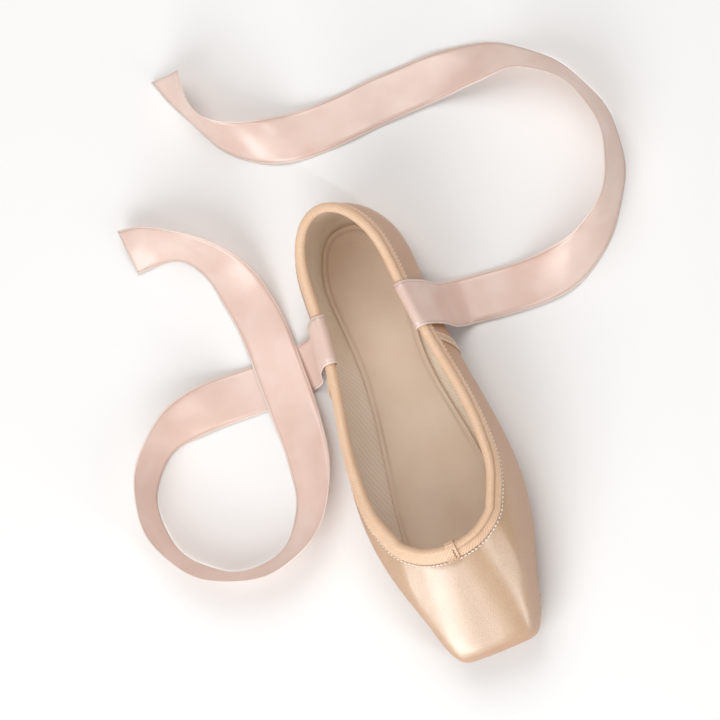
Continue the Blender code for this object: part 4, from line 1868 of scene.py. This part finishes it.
@dataclass
class Sole:
    """Scored leather sole with its sewn channels, and the insole inside the shoe."""

    last: Last
    step: float = 0.0011
    spine_end: float = 0.42
    edge_round: float = 0.0005
    row_inset: float = 0.0022
    inner_inset: float = 0.0054
    inner_from: float = 0.112
    stitch_pitch: float = 0.0039
    stitch_proud: float = 0.00028
    channel_width: float = 0.0011
    channel_depth: float = 0.0003
    score_front: float = 0.032
    score_back: float = 0.108
    score_fade: float = 0.004
    insole_thickness: float = 0.0014
    insole_margin: float = 0.0006
    insole_round: float = 0.0004
    sock_groove_inset: float = 0.0025
    sock_groove_width: float = 0.0009
    sock_groove_depth: float = 0.00025

    def plate(self, inset: float, shares: Array) -> tuple[Array, Array]:
        """Lays rings from the sole's edge in to its middle line.

        Args:
            inset: How far inside the sole's edge the plate ends.
            shares: How far in each ring is, 0 at the edge and 1 at the middle line.

        Returns:
            Plan points, rings x places, and how far each is from the plate's edge.
        """
        last = self.last
        s = np.linspace(-last.half, last.half, round(last.around / self.step) // 2 * 2 + 1)
        edge = last.sole_ring(s, inset)
        y = edge[:, 1]
        front = y.min() + last.sole_ball_width * self.spine_end
        back = y.max() - last.sole_heel_width * self.spine_end
        spine_y = front + (back - front) * smooth(-0.12, 1.12, (y - y.min()) / (y.max() - y.min()))
        spine = np.stack([np.zeros_like(y), (spine_y + spine_y[::-1]) / 2], 1)
        plan = edge + (spine - edge) * shares[:, None, None]
        return plan, shares[:, None] * np.linalg.norm(spine - edge, axis=1)

    def build(
        self, leather: bpy.types.Material, sock: bpy.types.Material, thread: bpy.types.Material
    ) -> None:
        """Makes the sole, its stitches and the insole.

        Args:
            leather: Material of the sole.
            sock: Material of the insole.
            thread: Material of the stitches.
        """
        self.outsole(leather)
        self.stitch(thread)
        self.insole(sock)

    def outsole(self, leather: bpy.types.Material) -> None:
        """Makes the outsole as rings over its top, round its edge and over its scored underside.

        Args:
            leather: Material of the sole.
        """
        last = self.last
        thick, rounding = last.sole_thickness, self.edge_round
        over, rim = [1.0, 0.5, 0.15, 0.03], [0.006, 0.0, 0.0, 0.006]
        fine = np.concatenate([np.linspace(0.02, 0.3, 15), np.linspace(0.33, 1.0, 24)])
        shares = np.concatenate([over, rim, fine])
        plan, inward = self.plate(0.0, shares)
        rim_depth = [0.0, rounding, thick - rounding, thick]
        depth = np.concatenate([np.zeros(len(over)), rim_depth, np.full(len(fine), thick)])[:, None]
        under = (depth >= thick - MERGE).astype(float)
        along = plan[..., 1] + last.length / 2
        forepart = 1 - smooth(self.inner_from - self.score_fade, self.inner_from, along)
        outer_row = hump(inward - self.row_inset, self.channel_width)
        inner_row = hump(inward - self.inner_inset, self.channel_width) * forepart
        channel = under * np.maximum(outer_row, inner_row)
        height = last.lift(plan[..., 1]) + thick - depth + self.channel_depth * channel
        edge = (np.abs(shares) < 0.01).astype(float)[:, None]
        marks = {"groove": channel, "edge": edge, "scored": under * self.scored(along, inward)}
        points = np.concatenate([plan, height[..., None]], -1)
        made = Sheet("scored_sole", points, plan, marks).build()
        dress(made, [leather], ("outsole",))

    def scored(self, along: Array, inward: Array) -> Array:
        """Marks where the forepart is scored: inside the second row, fainter towards the toe.

        Args:
            along: Distances from the toe.
            inward: Distances from the sole's edge.

        Returns:
            How deep the scoring is, 0 to 1.
        """
        front, back, fade = self.score_front, self.score_back, self.score_fade
        inside = smooth(self.inner_inset + 0.0008, self.inner_inset + 0.0024, inward)
        ends = smooth(front - 0.006, front + fade, along) * (1 - smooth(back, back + fade, along))
        return inside * ends * (0.55 + 0.45 * smooth(front, back, along))

    def stitch(self, thread: bpy.types.Material) -> None:
        """Sews the sole with one row all round and a second in the forepart.

        Args:
            thread: Material of the stitches.
        """
        last = self.last
        centres, along = [], []
        s = np.linspace(-last.half, last.half, FINE_SAMPLES)[:-1]
        for inset, closed in ((self.row_inset, True), (self.inner_inset, False)):
            plan = last.sole_ring(s, inset)
            if not closed:
                plan = plan[plan[:, 1] + last.length / 2 < self.inner_from]
            height = last.lift(plan[:, 1]) + self.stitch_proud
            line = np.concatenate([plan, height[:, None]], 1)
            i = np.rint(evenly(line, self.stitch_pitch, closed)).astype(int) % len(line)
            centres.append(line[i])
            along.append(np.roll(line, -3, 0)[i] - np.roll(line, 3, 0)[i])
        centres, along = np.concatenate(centres), np.concatenate(along)
        out = np.broadcast_to([0.0, 0.0, -1.0], centres.shape)
        row = Stitching("sole_stitches", self.stitch_pitch * 0.74, wide=0.00085, proud=self.stitch_proud)
        dress(row.build(centres, along, out), [thread])

    def insole(self, sock: bpy.types.Material) -> None:
        """Makes the insole: a thin board under a cotton sock that is a little rounded at its edge.

        Args:
            sock: Material of the insole.
        """
        last = self.last
        thick, rounding = self.insole_thickness, self.insole_round
        under, rim, over = [1.0, 0.5, 0.1], [0.012, 0.0, 0.0, 0.012], np.linspace(0.03, 1.0, 22)
        shares = np.concatenate([under, rim, over])
        plan, inward = self.plate(last.sole_overlap + self.insole_margin, shares)
        rim_rise = [0.0, rounding, thick - rounding, thick]
        rise = np.concatenate([np.zeros(len(under)), rim_rise, np.full(len(over), thick)])[:, None]
        # The groove round the sock is pressed in and darkened with painted shade
        groove = hump(inward - self.sock_groove_inset, self.sock_groove_width) * (rise >= thick)
        base = last.sole_thickness + last.gap + last.wall + last.gap
        height = last.lift(plan[..., 1]) + base + rise - self.sock_groove_depth * groove
        # The rings go from the bottom up, so they are laid in reverse to turn their faces outwards
        points = np.concatenate([plan, height[..., None]], -1)[::-1]
        made = Sheet("cotton_insole", points, plan[::-1], {"groove": groove[::-1]}).build()
        dress(made, [sock], ("insole",))


class Softbox(NamedTuple):
    """A soft rectangular light: where it hangs as seen from the toe, its size, watts and colour."""

    name: str
    towards: Point
    size: tuple[float, float]
    power: float
    colour: str


SOFTBOXES = (
    Softbox("key_softbox", (-0.54, -0.54, 0.645), (1.08, 0.80), 8.3, "#F8FCFF"),
    Softbox("low_softbox", (-0.48, -0.80, 0.34), (0.80, 0.54), 4.4, "#F8FCFF"),
    Softbox("strip", (0.57, -0.64, 0.54), (0.045, 0.90), 3.0, "#FAFDFF"),
    Softbox("top_softbox", (0.05, 0.62, 0.80), (0.90, 0.90), 6.8, "#FFFDFC"),
)


@dataclass
class Studio:
    """Camera at the photograph's angle, soft lights and a pale floor."""

    view_from: Point = (0.15, -0.20, 0.97)
    target: Point = (-0.0147, 0.043, 0.010)
    field_of_view: float = 0.350
    lens: float = 300.0
    sensor: float = 36.0
    roll_deg: float = 20.8
    toe: Point = (0.0, -0.085, 0.035)
    light_distance: float = 1.2
    floor_half: float = 4.0
    floor_below: float = 0.0002
    sky: str = "#F4F6FA"
    sky_strength: float = 0.32

    def camera(self) -> None:
        """Sets the camera, rolled so that the toe points down and to the right."""
        back = unit(np.array(self.view_from))
        right = unit(np.cross([0, 1, 0], back))
        up = np.cross(back, right)
        toe = np.array([0, -1, 0])
        turn = math.atan2(toe @ right, -(toe @ up)) - math.radians(self.roll_deg)
        right, up = (
            math.cos(turn) * right + math.sin(turn) * up,
            math.cos(turn) * up - math.sin(turn) * right,
        )
        data = bpy.data.cameras.new("camera")
        data.lens, data.sensor_width = self.lens, self.sensor
        data.clip_start, data.clip_end = 0.05, 20.0
        camera = bpy.data.objects.new("camera", data)
        bpy.context.scene.collection.objects.link(camera)
        distance = self.field_of_view * self.lens / self.sensor
        turned = Matrix((right, up, back)).transposed().to_4x4()
        camera.matrix_world = Matrix.Translation(np.array(self.target) + back * distance) @ turned
        bpy.context.scene.camera = camera

    def light(self, box: Softbox) -> None:
        """Hangs a soft light that faces the toe.

        Args:
            box: The light.
        """
        data = bpy.data.lights.new(box.name, "AREA")
        data.shape, data.size, data.size_y = "RECTANGLE", *box.size
        data.energy, data.color = box.power, srgb(box.colour)[:3]
        made = bpy.data.objects.new(box.name, data)
        bpy.context.scene.collection.objects.link(made)
        away = Vector(box.towards).normalized()
        turn = away.to_track_quat("Z", "Y").to_matrix().to_4x4()
        made.matrix_world = Matrix.Translation(Vector(self.toe) + away * self.light_distance) @ turn

    def build(self) -> None:
        """Lays the floor and hangs the lights."""
        work = bmesh.new()
        bmesh.ops.create_grid(work, x_segments=1, y_segments=1, size=self.floor_half)
        bmesh.ops.translate(work, verts=work.verts, vec=(0, 0, -self.floor_below))
        mesh = bpy.data.meshes.new("floor")
        work.to_mesh(mesh)
        work.free()
        mesh.materials.append(PaintedFloor().material())
        place_object("floor", mesh)
        world = bpy.data.worlds.new("studio")
        world.use_nodes = True
        sky = world.node_tree.nodes["Background"]
        sky.inputs["Color"].default_value = srgb(self.sky)
        sky.inputs["Strength"].default_value = self.sky_strength
        bpy.context.scene.world = world
        for box in SOFTBOXES:
            self.light(box)
        bpy.context.scene.view_settings.view_transform = "Standard"


def main() -> None:
    """Builds the scene: camera and ribbons first, then the shoe piece by piece."""
    logging.basicConfig(level=logging.INFO, format="%(name)s: %(message)s")
    studio = Studio()
    studio.camera()
    collar_thread = SewingThread("spun_thread_pale", "#FFF3E2").material()
    lap_thread = SewingThread("spun_thread_brown", "#8E6247").material()
    sole_thread = SewingThread("waxed_linen_thread", "#E6CDAA").material()
    for side in Side:
        Ribbon(side).build(RibbonSatin(), collar_thread)
    last = Last()
    satin = DuchessSatin().material()
    Upper(last).build(satin, CottonDrill().material())
    Collar(last).build(BiasTwill().material(), collar_thread, lap_thread)
    Seams(last).build(satin, collar_thread)
    Sole(last).build(SuedeLeather().material(), SockCanvas().material(), sole_thread)
    studio.build()


if __name__ == "__main__":
    main()
